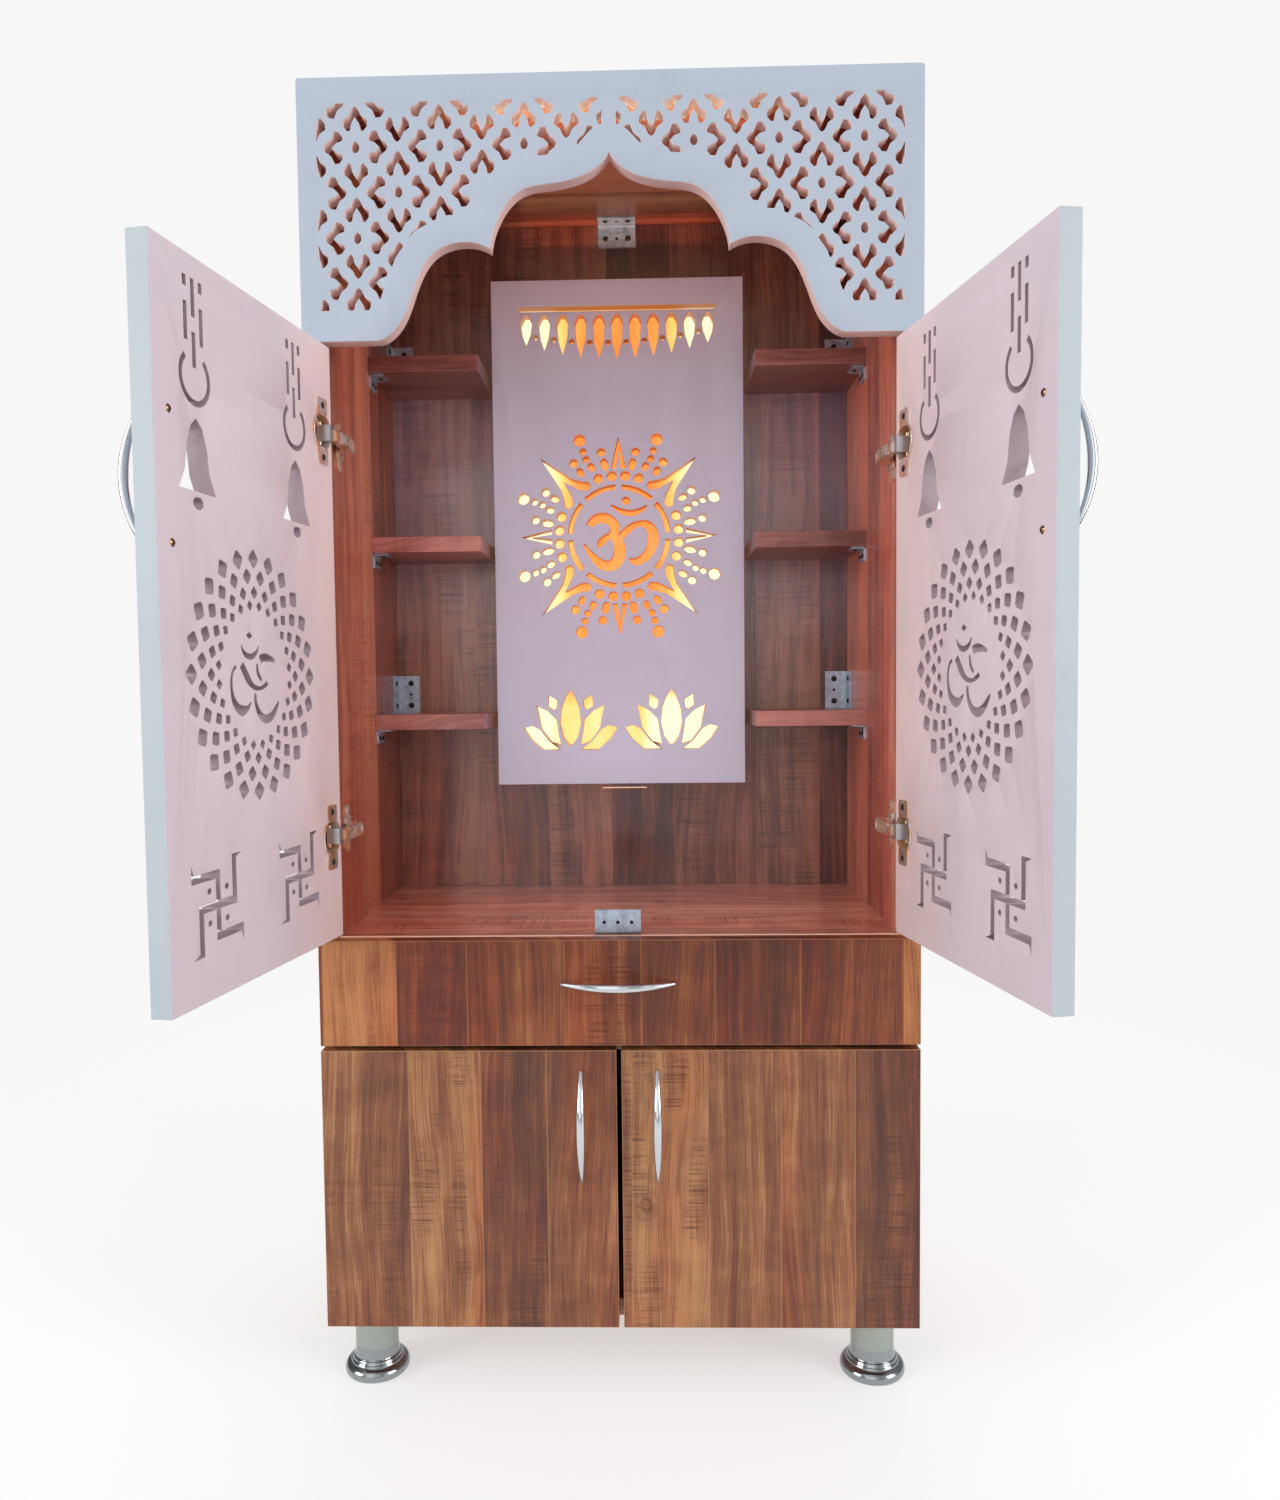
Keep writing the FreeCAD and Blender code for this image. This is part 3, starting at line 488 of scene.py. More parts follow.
# the lit sheet behind the pierced panel: warm in the middle, pale at its sides and top
litSheet = {
    "middle": srgb(255, 132, 52),
    "between": srgb(255, 196, 104),
    "edge": srgb(255, 243, 196),
    "stops": (0.0, 0.45, 0.9),
    "innerHalf": 0.040,
    "outerHalf": 0.104,
    "topEdges": (1.175, 1.205),
    "lowEdges": (0.74, 0.70),
    "rightEdges": (0.0, 0.05),
    "leftShare": 0.5,
    "patch": ((34, 34, 12), 3.0, 0.6),
    "patchShare": (0.5, -0.22),
    "sheet": srgb(120, 96, 60),
    "gloss": (0.2, 0.4),
    "strength": 1.25,
}


def glowingSheet(name, spec):
    material, tree, shader, place = startMaterial(name, 0.5)
    point = place.outputs["Object"]
    x = alongAxis(tree, point, (1, 0, 0))
    z = alongAxis(tree, point, (0, 0, 1))
    sides = smoothStep(tree, calc(tree, "ABSOLUTE", x), spec["innerHalf"], spec["outerHalf"])
    top = smoothStep(tree, z, *spec["topEdges"])
    low = smoothStep(tree, z, *spec["lowEdges"])
    rightLow = calc(tree, "MULTIPLY", smoothStep(tree, x, *spec["rightEdges"]), low)
    leftLow = calc(tree, "MULTIPLY", low, spec["leftShare"])
    glow = calc(tree, "MAXIMUM", calc(tree, "MAXIMUM", sides, top), calc(tree, "MAXIMUM", rightLow, leftLow))
    patch = noise(tree, point, *spec["patch"])
    patched = calc(tree, "MULTIPLY_ADD", patch, *spec["patchShare"])
    glow = calc(tree, "ADD", glow, patched, clamp=True)
    color = ramp(tree, glow, tuple(zip(spec["stops"], (spec["middle"], spec["between"], spec["edge"]))))
    shader.inputs["Base Color"].default_value = spec["sheet"]
    tree.links.new(color, shader.inputs["Emission Color"])
    shader.inputs["Emission Strength"].default_value = spec["strength"]
    tree.links.new(calc(tree, "MULTIPLY_ADD", patch, *spec["gloss"]), shader.inputs["Roughness"])
    return material


def setMaterial(node, material):
    cadObject = cadNodes[node]
    if not cadObject.material_slots:
        cadObject.data.materials.append(material)
    for slot in cadObject.material_slots:
        slot.material = material


chrome = polishedMetal("chrome", srgb(214, 218, 222), 0.11)
footChrome = polishedMetal("footChrome", srgb(160, 165, 168), 0.13)
satinTube = polishedMetal("satinTube", srgb(172, 178, 172), 0.34, 0.08)
# nickel: its warm patches are a painted reflection of the warm interior
nickel = polishedMetal("nickel", srgb(236, 226, 218), 0.24, 0.06, srgb(238, 184, 142), metallic=0.7)
satinNickel = polishedMetal("satinNickel", srgb(188, 186, 188), 0.38, 0.06, metallic=0.8)
brass = polishedMetal("brass", srgb(152, 112, 84), 0.3)
darkSteel = polishedMetal("darkSteel", srgb(70, 64, 62), 0.45)
zinc = zincSheet("zincSteel", zincSpec)
ply = plainBoard("drawerPly", srgb(206, 176, 138), (6, 60, 200))
frameWood = plainBoard("frameWood", srgb(150, 96, 70), (40, 40, 6))
shadow, shadowTree, shadowShader, shadowPlace = startMaterial("holeShadow", 0.8)
shadowTone = noise(shadowTree, shadowPlace.outputs["Object"], (300, 300, 300))
shadowTree.links.new(mixColor(shadowTree, shadowTone, srgb(20, 16, 16), srgb(44, 36, 34)),
                     shadowShader.inputs["Base Color"])
for node in cadNodes:
    if node.endswith("hinge_cups") or node.endswith("hinge_arms"):
        setMaterial(node, nickel)
for node in ("corner_brackets", "shelf_supports", "door_stop", "drawer_rails", "drawer_slides"):
    setMaterial(node, zinc)
for node in ("drawer_back", "drawer_bottom", "drawer_left_side", "drawer_right_side"):
    setMaterial(node, ply)
setMaterial("lit_panel_frame", frameWood)
setMaterial("panel_diffuser", glowingSheet("glowingSheet", litSheet))
setMaterial("led_strips", glowingSheet("ledStrip", dict(litSheet, strength=3.0)))
print("plain materials set on the frame")


# boards: a merged copy of each CAD board with softened edges
boardEdge = {"width": 0.0006, "lipping": 0.0016, "segments": 2, "angle": 42, "smooth": 42, "weld": 1e-5,
             "fewPoints": 60, "level": 0.9999, "front": 0.9}


def softBoard(node, name, material, body, lipping=False):
    mesh = cadNodes[node].data.copy()
    mesh.name = name
    work = bmesh.new()
    work.from_mesh(mesh)
    bmesh.ops.remove_doubles(work, verts=work.verts, dist=boardEdge["weld"])
    if len(work.verts) < boardEdge["fewPoints"]:
        # an unpierced board loses the diagonals of its triangles
        bmesh.ops.dissolve_limit(work, angle_limit=math.radians(1), verts=work.verts, edges=work.edges)
    work.to_mesh(mesh)
    work.free()
    mesh.shade_smooth()
    mesh.set_sharp_from_angle(angle=math.radians(boardEdge["smooth"]))
    board = placeObject(name, mesh)
    bevel = board.modifiers.new("softEdge", "BEVEL")
    bevel.width = boardEdge["lipping" if lipping else "width"]
    bevel.segments = boardEdge["segments"]
    bevel.limit_method = "ANGLE"
    bevel.angle_limit = math.radians(boardEdge["angle"])
    bevel.use_clamp_overlap = False
    bevel.harden_normals = True
    applyModifiers(board)
    board.data.materials.clear()
    board.data.materials.append(material)
    markEdges(board.data, lipping)
    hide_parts(node)
    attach(board, body)


def markEdges(mesh, lipping):
    # the narrow faces of the softened edges get 1, and so does a front lipping, so that a painted highlight, a
    # lighter line, can follow them
    band = mesh.attributes.new("edgeBand", "FLOAT", "FACE")
    shares = []
    for polygon in mesh.polygons:
        way = polygon.normal
        slanted = max(abs(part) for part in way) < boardEdge["level"]
        shares.append(float(slanted or (lipping and way.y < -boardEdge["front"])))
    band.data.foreach_set("value", shares)


# where the doors' free edge begins, and how far the painted warm light near the hinges and the painted light at
# the lit panel's top and foot reach, in metres
tintSpec = {"freeEdge": 0.0035, "hinge": 0.16, "panelTop": 0.16, "panelLow": 0.24}
rim = paintSpec["rim"]
opened = math.radians(openAngle)
topEdge = cadBox[1][2] - rim
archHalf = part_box("arch_panel")[1][0] - rim
archEdges = (((1, 0, 0), archHalf), ((-1, 0, 0), archHalf), ((0, 0, 1), topEdge))
# the arch's inner face and its routed walls take painted warm light
archTones = (paintColors["front"], paintColors["inside"], paintColors["archWall"])
archPaint = paintedBoard("archPaint", (0, -1, 0), archTones, archEdges)
softBoard("arch_panel", "archBoard", archPaint, "cabinet")

doorTones = (paintColors["front"], paintColors["inside"], paintColors["wall"])
for side, sign in (("left", -1), ("right", 1)):
    low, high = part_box(side + "_shrine_door")
    hingeY = high[1]
    freeY = low[1] + tintSpec["freeEdge"]
    edges = (((0, -1, 0), -freeY), ((0, 0, 1), high[2] - rim), ((0, 0, -1), -low[2] - rim))
    # painted warm light on the inner face, strongest at the hinge
    hingeWarmLightTint = ((0, 1, 0), hingeY, hingeY - tintSpec["hinge"], paintColors["insideWarm"])
    faceWay = (sign * math.sin(opened), -math.cos(opened), 0)
    paint = paintedBoard(side + "DoorPaint", faceWay, doorTones, edges, [hingeWarmLightTint])
    softBoard(side + "_shrine_door", side + "ShrineDoorBoard", paint, leafBody[side])

panelLow, panelTop = (corner[2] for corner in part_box("lit_panel"))
panelTones = (paintColors["panelFace"], paintColors["panelFace"], paintColors["panelWall"])
# painted light on the lit panel: warm at its top and paler at its foot
panelTints = [((0, 0, 1), panelTop, panelTop - tintSpec["panelTop"], paintColors["panelWarm"]),
              ((0, 0, 1), panelLow, panelLow + tintSpec["panelLow"], paintColors["panelLow"])]
panelPaint = paintedBoard("panelPaint", (0, 1, 0), panelTones, (), panelTints)
softBoard("lit_panel", "litPanelBoard", panelPaint, "cabinet")

woodBoards = {
    # node: body, kind of wood, seed
    "left_side_panel": ("cabinet", "leftSide", 3.1),
    "right_side_panel": ("cabinet", "rightSide", 4.6),
    "back_panel": ("cabinet", "back", 31.0),
    "top_panel": ("cabinet", "top", 41.0),
    "shrine_floor": ("cabinet", "floor", 51.0),
    "drawer_divider": ("cabinet", "inner", 53.0),
    "base_panel": ("cabinet", "inner", 57.0),
    "left_lower_door": ("left_lower_leaf", "door", 12.3),
    "right_lower_door": ("right_lower_leaf", "door", 14.8),
    "drawer_front": ("drawer", "drawer", 21.9),
}
shelfSeeds = {"lower": 5.2, "middle": 7.7, "upper": 9.4}
for side in ("left", "right"):
    for level, seed in shelfSeeds.items():
        woodBoards[f"{side}_{level}_shelf"] = ("cabinet", "shelf", seed + (side == "left"))
for node, (body, kind, seed) in woodBoards.items():
    pieceName = camelName(node) + "Board"
    wood = walnut(pieceName + "Walnut", kind, seed, doorKnot if node == "right_lower_door" else None)
    softBoard(node, pieceName, wood, body, node == "shrine_floor")
print("boards softened and painted")


# shapes for the metal pieces, all drawn in millimetres
def addRings(work, rings, matrix):
    # rings of equal length, joined one to the next and capped at both ends
    made = [[work.verts.new(matrix @ Vector(point)) for point in ring] for ring in rings]
    count = len(made[0])
    for lower, upper in zip(made, made[1:]):
        for i in range(count):
            following = (i + 1) % count
            work.faces.new((lower[i], lower[following], upper[following], upper[i]))
    work.faces.new(made[0])
    work.faces.new(made[-1])


def addLathe(work, profile, matrix, sides):
    # profile of (radius, rise) turned about Z
    rings = []
    for radius, rise in profile:
        turns = [2 * math.pi * i / sides for i in range(sides)]
        rings.append([(radius * math.cos(t), radius * math.sin(t), rise) for t in turns])
    addRings(work, rings, matrix)


def addPlate(work, outline, low, high, matrix):
    # outline of (x, y) points, raised from low to high along Z
    addRings(work, [[(x, y, low) for x, y in outline], [(x, y, high) for x, y in outline]], matrix)


def addBlock(work, low, high, matrix, rounding=0.8):
    made = bmesh.ops.create_cube(work, size=1.0)
    size = Vector(high) - Vector(low)
    middle = (Vector(high) + Vector(low)) / 2
    place = matrix @ Matrix.Translation(middle) @ Matrix.Diagonal((*size, 1))
    bmesh.ops.transform(work, matrix=place, verts=made["verts"])
    edges = {edge for vertex in made["verts"] for edge in vertex.link_edges}
    bmesh.ops.bevel(work, geom=list(edges), offset=rounding * 0.001, segments=2, profile=0.5, affect="EDGES")


def finishPiece(name, work, materials, body, nodes=(), sharp=35):
    bmesh.ops.remove_doubles(work, verts=work.verts, dist=1e-7)
    bmesh.ops.recalc_face_normals(work, faces=work.faces)
    mesh = bpy.data.meshes.new(name)
    work.to_mesh(mesh)
    work.free()
    mesh.shade_smooth()
    mesh.set_sharp_from_angle(angle=math.radians(sharp))
    for material in materials:
        mesh.materials.append(material)
    piece = placeObject(name, mesh)
    if nodes:
        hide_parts(*nodes)
    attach(piece, body)
# bow handles: the places are on the left side, and the mirrored ones follow
handleSpec = {"length": 117, "rise": 23, "waist": 8.6, "tip": 3.0, "flatness": 0.8, "screws": 100,
              "foot": 2.0, "rings": 60, "sides": 28, "tipShare": 0.03, "poleGap": 0.9999, "thinnest": 0.0004,
              "footFlare": ((0.8, 0), (0.5, 0.6), (0.0, 1.8)), "footSides": 24}
handleSpots = {"shrine": (-22.5, -8, 815), "lower": (-38.5, -5, 209.5), "drawer": (0, -5, 356)}


def addHandle(work, spec, matrix):
    # a bowed spindle along Z that stands off a board whose face is the plane y = 0
    rings = []
    for i in range(spec["rings"] + 1):
        s = -math.cos(math.pi * i / spec["rings"]) * spec["poleGap"]
        bulge = 1 - s * s
        out = -spec["tip"] / 2 - (spec["rise"] - spec["tip"]) * bulge
        wide = (spec["tip"] + (spec["waist"] - spec["tip"]) * bulge) / 2
        past = max(0.0, (abs(s) - 1 + spec["tipShare"]) / spec["tipShare"])
        wide *= math.sqrt(max(spec["thinnest"], 1 - past * past))
        slope = math.atan2(2 * s * (spec["rise"] - spec["tip"]), spec["length"] / 2)
        turn = Matrix.Translation((0, out, s * spec["length"] / 2)) @ Matrix.Rotation(-slope, 4, "X")
        ring = []
        for j in range(spec["sides"]):
            t = 2 * math.pi * j / spec["sides"]
            ring.append(turn @ Vector((wide * math.cos(t), wide * spec["flatness"] * math.sin(t), 0)))
        rings.append(ring)
    addRings(work, rings, matrix)
    reach = (spec["rise"] - spec["tip"]) * (1 - (spec["screws"] / spec["length"]) ** 2)
    profile = [(spec["foot"] + flare, rise) for flare, rise in spec["footFlare"]] + [(spec["foot"], reach)]
    for end in (-1, 1):
        turn = Matrix.Translation((0, 0, end * spec["screws"] / 2)) @ Matrix.Rotation(math.pi / 2, 4, "X")
        addLathe(work, profile, matrix @ turn, spec["footSides"])


handlePlaces = {}
for leaf, swing, bodies in (("shrine", swingLeft, leafBody), ("lower", still, lowerBody)):
    for side, matrix in sideMatrix.items():
        place = matrix @ swing @ Matrix.Translation(handleSpots[leaf])
        handlePlaces[f"{side}_{leaf}_door_handle"] = (place, bodies[side])
crosswise = Matrix.Translation(handleSpots["drawer"]) @ Matrix.Rotation(math.pi / 2, 4, "Y")
handlePlaces["drawer_handle"] = (crosswise, "drawer")
for node, (place, body) in handlePlaces.items():
    work = bmesh.new()
    addHandle(work, handleSpec, toFrame @ place)
    finishPiece(camelName(node) + "Bow", work, [chrome], body, [node])
print("handles made")


# turned legs: a satin tube in a spun chrome foot
legSpec = {"x": 265, "rows": {"front": 50, "back": 296}, "height": 75, "sides": 72, "sharp": 28}
tubeProfile = ((22.0, 17.0), (22.5, 17.5), (22.5, 70.8), (23.2, 71.6), (29.2, 72.4), (29.9, 72.8), (30.0, 75.0))
footProfile = ((0.0, 0.0), (30.6, 0.0), (32.6, 0.6), (33.7, 2.2), (34.0, 4.6), (33.7, 7.0), (32.7, 9.2),
               (31.0, 11.0), (28.8, 12.3), (28.0, 12.7), (27.8, 13.8), (27.2, 14.6), (26.3, 15.0), (25.9, 15.6),
               (25.6, 16.8), (25.0, 17.9), (24.0, 18.6), (23.5, 19.6), (23.1, 22.4), (22.8, 26.0), (22.5, 30.0),
               (22.0, 30.2), (0.0, 30.2))
for row, y in legSpec["rows"].items():
    for word, sign in (("left", -1), ("right", 1)):
        place = toFrame @ Matrix.Translation((sign * legSpec["x"], y, -legSpec["height"]))
        work = bmesh.new()
        addLathe(work, tubeProfile, place, legSpec["sides"])
        tubeFaces = len(work.faces)
        addLathe(work, footProfile, place, legSpec["sides"])
        work.faces.ensure_lookup_table()
        for face in work.faces[tubeFaces:]:
            face.material_index = 1
        finishPiece(f"{row}{word.capitalize()}TurnedLeg", work, [satinTube, footChrome], "cabinet",
                    [f"{row}_{word}_leg"], legSpec["sharp"])
print("legs made")


# screws and holes: one tree each, fed with points that carry the way each one faces
def groupSocket(tree, name, kind, value=None):
    socket = tree.interface.new_socket(name, in_out="INPUT", socket_type=kind)
    if value is not None:
        socket.default_value = value
    return socket.identifier


def startTree(name, sockets):
    tree = bpy.data.node_groups.new(name, "GeometryNodeTree")
    groupSocket(tree, "Geometry", "NodeSocketGeometry")
    names = {key: groupSocket(tree, *socket) for key, socket in sockets.items()}
    tree.interface.new_socket("Geometry", in_out="OUTPUT", socket_type="NodeSocketGeometry")
    return tree, names, addNode(tree, "NodeGroupInput").outputs


def readAttribute(tree, name, kind):
    return addNode(tree, "GeometryNodeInputNamedAttribute", {"Name": name}, data_type=kind).outputs[0]


def facingWay(tree):
    way = readAttribute(tree, "facing", "FLOAT_VECTOR")
    return addNode(tree, "FunctionNodeAlignRotationToVector", {"Vector": way}, axis="Z").outputs[0]


def realCopies(tree, points, shape, rotation):
    values = {"Points": points, "Instance": shape, "Rotation": rotation}
    placed = addNode(tree, "GeometryNodeInstanceOnPoints", values).outputs[0]
    return addNode(tree, "GeometryNodeRealizeInstances", {0: placed}).outputs[0]


def endTree(tree, dressed):
    result = addNode(tree, "NodeGroupOutput")
    tree.links.new(dressed.outputs[0], result.inputs[0])


headSpec = {"sides": 20, "crown": 0.55, "barLength": 0.95, "barHeight": 0.0002}
headSockets = {
    "radius": ("Head Radius", "NodeSocketFloat", 0.0035),
    "depth": ("Head Depth", "NodeSocketFloat", 0.0012),
    "recess": ("Recess Width", "NodeSocketFloat", 0.0009),
    "seed": ("Seed", "NodeSocketInt", 4),
    "finish": ("Finish", "NodeSocketMaterial"),
    "pit": ("Recess Finish", "NodeSocketMaterial"),
}


def headTree(spec):
    tree, names, inputs = startTree("screwHeads", headSockets)
    radius, depth, recess, seed, finish, pit = (inputs[i] for i in range(1, 7))
    crown = calc(tree, "MULTIPLY", radius, spec["crown"])
    values = {"Vertices": spec["sides"], "Side Segments": 1, "Radius Top": crown, "Radius Bottom": radius,
              "Depth": depth}
    head = addNode(tree, "GeometryNodeMeshCone", values).outputs["Mesh"]
    # two bars make the cross of the recess, a little above the crown
    long = calc(tree, "MULTIPLY", radius, spec["barLength"])
    cross = addNode(tree, "GeometryNodeJoinGeometry")
    for first, second in ((long, recess), (recess, long)):
        values = {0: first, 1: second, 2: spec["barHeight"]}
        size = addNode(tree, "ShaderNodeCombineXYZ", values).outputs[0]
        bar = addNode(tree, "GeometryNodeMeshCube", {"Size": size}).outputs["Mesh"]
        tree.links.new(bar, cross.inputs[0])
    lift = addNode(tree, "ShaderNodeCombineXYZ", {2: depth}).outputs[0]
    values = {"Geometry": cross.outputs[0], "Translation": lift}
    raised = addNode(tree, "GeometryNodeTransform", values)
    values = {"Geometry": raised.outputs[0], "Name": "recess", "Value": True}
    marked = addNode(tree, "GeometryNodeStoreNamedAttribute", values, data_type="BOOLEAN", domain="FACE")
    driven = addNode(tree, "GeometryNodeJoinGeometry")
    tree.links.new(head, driven.inputs[0])
    tree.links.new(marked.outputs[0], driven.inputs[0])
    # each head is turned at random about its own axis
    upright = facingWay(tree)
    spin = addNode(tree, "FunctionNodeRandomValue", {"Seed": seed}, data_type="FLOAT")
    spin.inputs[3].default_value = math.pi
    turn = addNode(tree, "FunctionNodeAxisAngleToRotation", {"Angle": spin.outputs[1]}).outputs[0]
    values = {0: upright, 1: turn}
    facing = addNode(tree, "FunctionNodeRotateRotation", values, rotation_space="LOCAL").outputs[0]
    real = realCopies(tree, inputs[0], driven.outputs[0], facing)
    headFinish = addNode(tree, "GeometryNodeSetMaterial", {"Geometry": real, "Material": finish})
    values = {"Geometry": headFinish.outputs[0], "Selection": readAttribute(tree, "recess", "BOOLEAN"),
              "Material": pit}
    endTree(tree, addNode(tree, "GeometryNodeSetMaterial", values))
    return tree, names


holeSockets = {
    "radius": ("Hole Radius", "NodeSocketFloat", 0.002),
    "depth": ("Hole Lip", "NodeSocketFloat", 0.00012),
    "finish": ("Finish", "NodeSocketMaterial"),
}


def holeTree(sides):
    tree, names, inputs = startTree("punchedHoles", holeSockets)
    values = {"Vertices": sides, "Radius": inputs[1], "Depth": inputs[2]}
    disc = addNode(tree, "GeometryNodeMeshCylinder", values)
    real = realCopies(tree, inputs[0], disc.outputs[0], facingWay(tree))
    endTree(tree, addNode(tree, "GeometryNodeSetMaterial", {"Geometry": real, "Material": inputs[3]}))
    return tree, names


def scatter(name, treeAndNames, values, spots, body):
    # spots: (matrix, place, facing way) in millimetres
    tree, names = treeAndNames
    places = [(toFrame @ matrix) @ Vector(point) for matrix, point, way in spots]
    mesh = bpy.data.meshes.new(name)
    mesh.from_pydata(places, [], [])
    facing = mesh.attributes.new("facing", "FLOAT_VECTOR", "POINT")
    ways = [(matrix.to_3x3() @ Vector(way)).normalized() for matrix, point, way in spots]
    facing.data.foreach_set("vector", [part for way in ways for part in way])
    piece = placeObject(name, mesh)
    modifier = piece.modifiers.new("spots", "NODES")
    modifier.node_group = tree
    for key, value in values.items():
        modifier[names[key]] = value
    applyModifiers(piece)
    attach(piece, body)


# a thin glowing strip under the lit panel stands in for the line of light that leaks out there: painted light
leakSpec = {"x": (-26, 31), "y": (315.4, 315.8), "drop": 8.5, "tall": 1.3, "rounding": 0.15, "strength": 0.85,
            "tone": srgb(255, 206, 178)}
work = bmesh.new()
leakTop = (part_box("lit_panel")[0][2] - underside) * 1000 - leakSpec["drop"]
addBlock(work, (leakSpec["x"][0], leakSpec["y"][0], leakTop - leakSpec["tall"]),
         (leakSpec["x"][1], leakSpec["y"][1], leakTop), toFrame, leakSpec["rounding"])
leakTones = dict.fromkeys(("middle", "between", "edge"), leakSpec["tone"])
leakGlow = glowingSheet("leakGlow", dict(litSheet, strength=leakSpec["strength"], **leakTones))
finishPiece("panelLightLeak", work, [leakGlow], "cabinet")

screwHead = headTree(headSpec)
punchedHole = holeTree(headSpec["sides"])
shelfTops = (624, 831, 1038)
bracketScrews = {"radius": 0.0036, "depth": 0.0011, "recess": 0.0009, "seed": 5, "finish": darkSteel,
                 "pit": shadow}
bracketHoles = {"radius": 0.0019, "depth": 0.00012, "finish": shadow}
toFront, toBack, toRight, upward, downward = (0, -1, 0), (0, 1, 0), (1, 0, 0), (0, 0, 1), (0, 0, -1)

# angle brackets: screws stand to both sides of a punched hole on each flange
bracketSpec = {
    "screwHalf": 14,
    "shelfRise": 23.5,
    # on the middle line, as (y, z): under the top panel, on the back panel and on the shrine floor
    "middle": (((301, 1229), downward), ((316, 1214), toFront), ((35, 402), upward)),
    "stop": (((18, 413), toFront), ((20, 413), toBack)),
    # above a shelf, as (x, y): on the side panel and on the back panel
    "shelf": (((-285, 301), toRight), ((-270, 316), toFront)),
}
bracketShelves = [(matrix, top + bracketSpec["shelfRise"]) for matrix in sideMatrix.values()
                  for top in (shelfTops[0], shelfTops[-1])]
flangeSpots, holeSpots = [], []
for end in (-bracketSpec["screwHalf"], bracketSpec["screwHalf"]):
    flangeSpots += [(still, (end, y, z), way) for (y, z), way in bracketSpec["middle"]]
    holeSpots += [(still, (end, y, z), way) for (y, z), way in bracketSpec["stop"]]
    for matrix, height in bracketShelves:
        flangeSpots += [(matrix, (x, y, height + end), way) for (x, y), way in bracketSpec["shelf"]]
holeSpots += [(still, (0, y, z), way) for (y, z), way in (*bracketSpec["middle"], bracketSpec["stop"][0])]
for matrix, height in bracketShelves:
    holeSpots += [(matrix, (x, y, height), way) for (x, y), way in bracketSpec["shelf"]]
scatter("bracketScrews", screwHead, bracketScrews, flangeSpots, "cabinet")
scatter("bracketHoles", punchedHole, bracketHoles, holeSpots, "cabinet")

# shelf supports: one screw up into the shelf and two into the side panel
supportSpec = {"y": 214, "shelfX": -277, "shelfDrop": 20, "wallX": -285, "wallDrop": 28, "wallHalf": 7,
               "radius": 0.0028}
supportSpots = []
for matrix in sideMatrix.values():
    for top in shelfTops:
        under = (supportSpec["shelfX"], supportSpec["y"], top - supportSpec["shelfDrop"])
        supportSpots.append((matrix, under, downward))
        for along in (-supportSpec["wallHalf"], supportSpec["wallHalf"]):
            beside = (supportSpec["wallX"], supportSpec["y"] + along, top - supportSpec["wallDrop"])
            supportSpots.append((matrix, beside, toRight))
supportScrews = dict(bracketScrews, radius=supportSpec["radius"])
scatter("supportScrews", screwHead, supportScrews, supportSpots, "cabinet")

# the handles' screws show on the inner faces of the doors and the drawer front
brassScrews = {"radius": 0.0034, "depth": 0.0012, "recess": 0.0009, "seed": 8, "finish": brass, "pit": shadow}
innerFace = {"shrine": 10.0, "lower": 13.0, "drawer": 13.0}
screwEnds = (-handleSpec["screws"] / 2, handleSpec["screws"] / 2)


def screwPair(matrix, leaf):
    x, y, z = handleSpots[leaf]
    return [(matrix, (x, innerFace[leaf], z + end), toBack) for end in screwEnds]


for side, matrix in sideMatrix.items():
    scatter(side + "ShrineHandleScrews", screwHead, brassScrews, screwPair(matrix @ swingLeft, "shrine"),
            leafBody[side])
    scatter(side + "LowerHandleScrews", screwHead, brassScrews, screwPair(matrix, "lower"),
            lowerBody[side])
spots = [(still, (end, innerFace["drawer"], handleSpots["drawer"][2]), toBack) for end in screwEnds]
scatter("drawerHandleScrews", screwHead, brassScrews, spots, "drawer")
print("screws and holes placed")


# concealed hinges: cup with wings and link on the leaf, arm and wall plate on the cabinet
hingeSpec = {
    "centre": -281.0,
    "cupRadius": 17.5,
    "cupDepth": 11.0,
    "wingHalf": (10.0, 32.0),
    "wingTall": 8.5,
    "wingRound": 3.5,
    "wingThickness": 1.5,
    "screwRise": 25.0,
    "pin": -7.5,
    "pinSize": (1.5, 11),
    "link": ((-289.0, -12.0), (-275.4, -0.2), 8.0),
    "armFace": -277.56,
    "armReach": 62.0,
    "armHalf": 7.0,
    "armBevel": 1.6,
    "armScrews": ((24, 8.6), (50, 8.8)),
    "tipInset": 1.3,
    "plateWall": -287.0,
    "plateSpan": (42.0, 68.0),
    "plateHalf": 25.0,
    "plateRound": 9.5,
    "plateThickness": 1.8,
    "plateScrews": (55, 18),
    "blockHalf": 12,
    "blockThickness": 3,
    "rounding": {"arm": 0.7, "block": 0.9, "link": 0.9},
    "wingScrew": 0.0034,
    "armScrew": 0.0032,
}

# along the arm: how far from its tip, how far it stands out, half its height
armStations = ((0.0, 4.0, 5.4), (3.0, 6.6, 5.9), (12.0, 8.0, 6.2), (26.0, 8.8, 6.6), (44.0, 9.0, 7.0),
               (56.0, 8.6, 7.0), (60.5, 7.0, 6.6), (62.0, 4.6, 6.0))

hingeRows = {
    # label: heights on each side, bodies, whether the leaf stands open at rest
    "shrine": ({"left": (507.5, 905.0), "right": (507.5, 885.0)}, leafBody, True),
    "lower": ({"left": (62.0, 225.5), "right": (62.0, 225.5)}, lowerBody, False),
}


def roundedRectangle(halfX, halfY, radius, steps=5):
    points = []
    for centreX, centreY, start in ((1, 1, 0), (-1, 1, 90), (-1, -1, 180), (1, -1, 270)):
        for i in range(steps + 1):
            t = math.radians(start + 90 * i / steps)
            points.append((centreX * (halfX - radius) + radius * math.cos(t),
                           centreY * (halfY - radius) + radius * math.sin(t)))
    return points


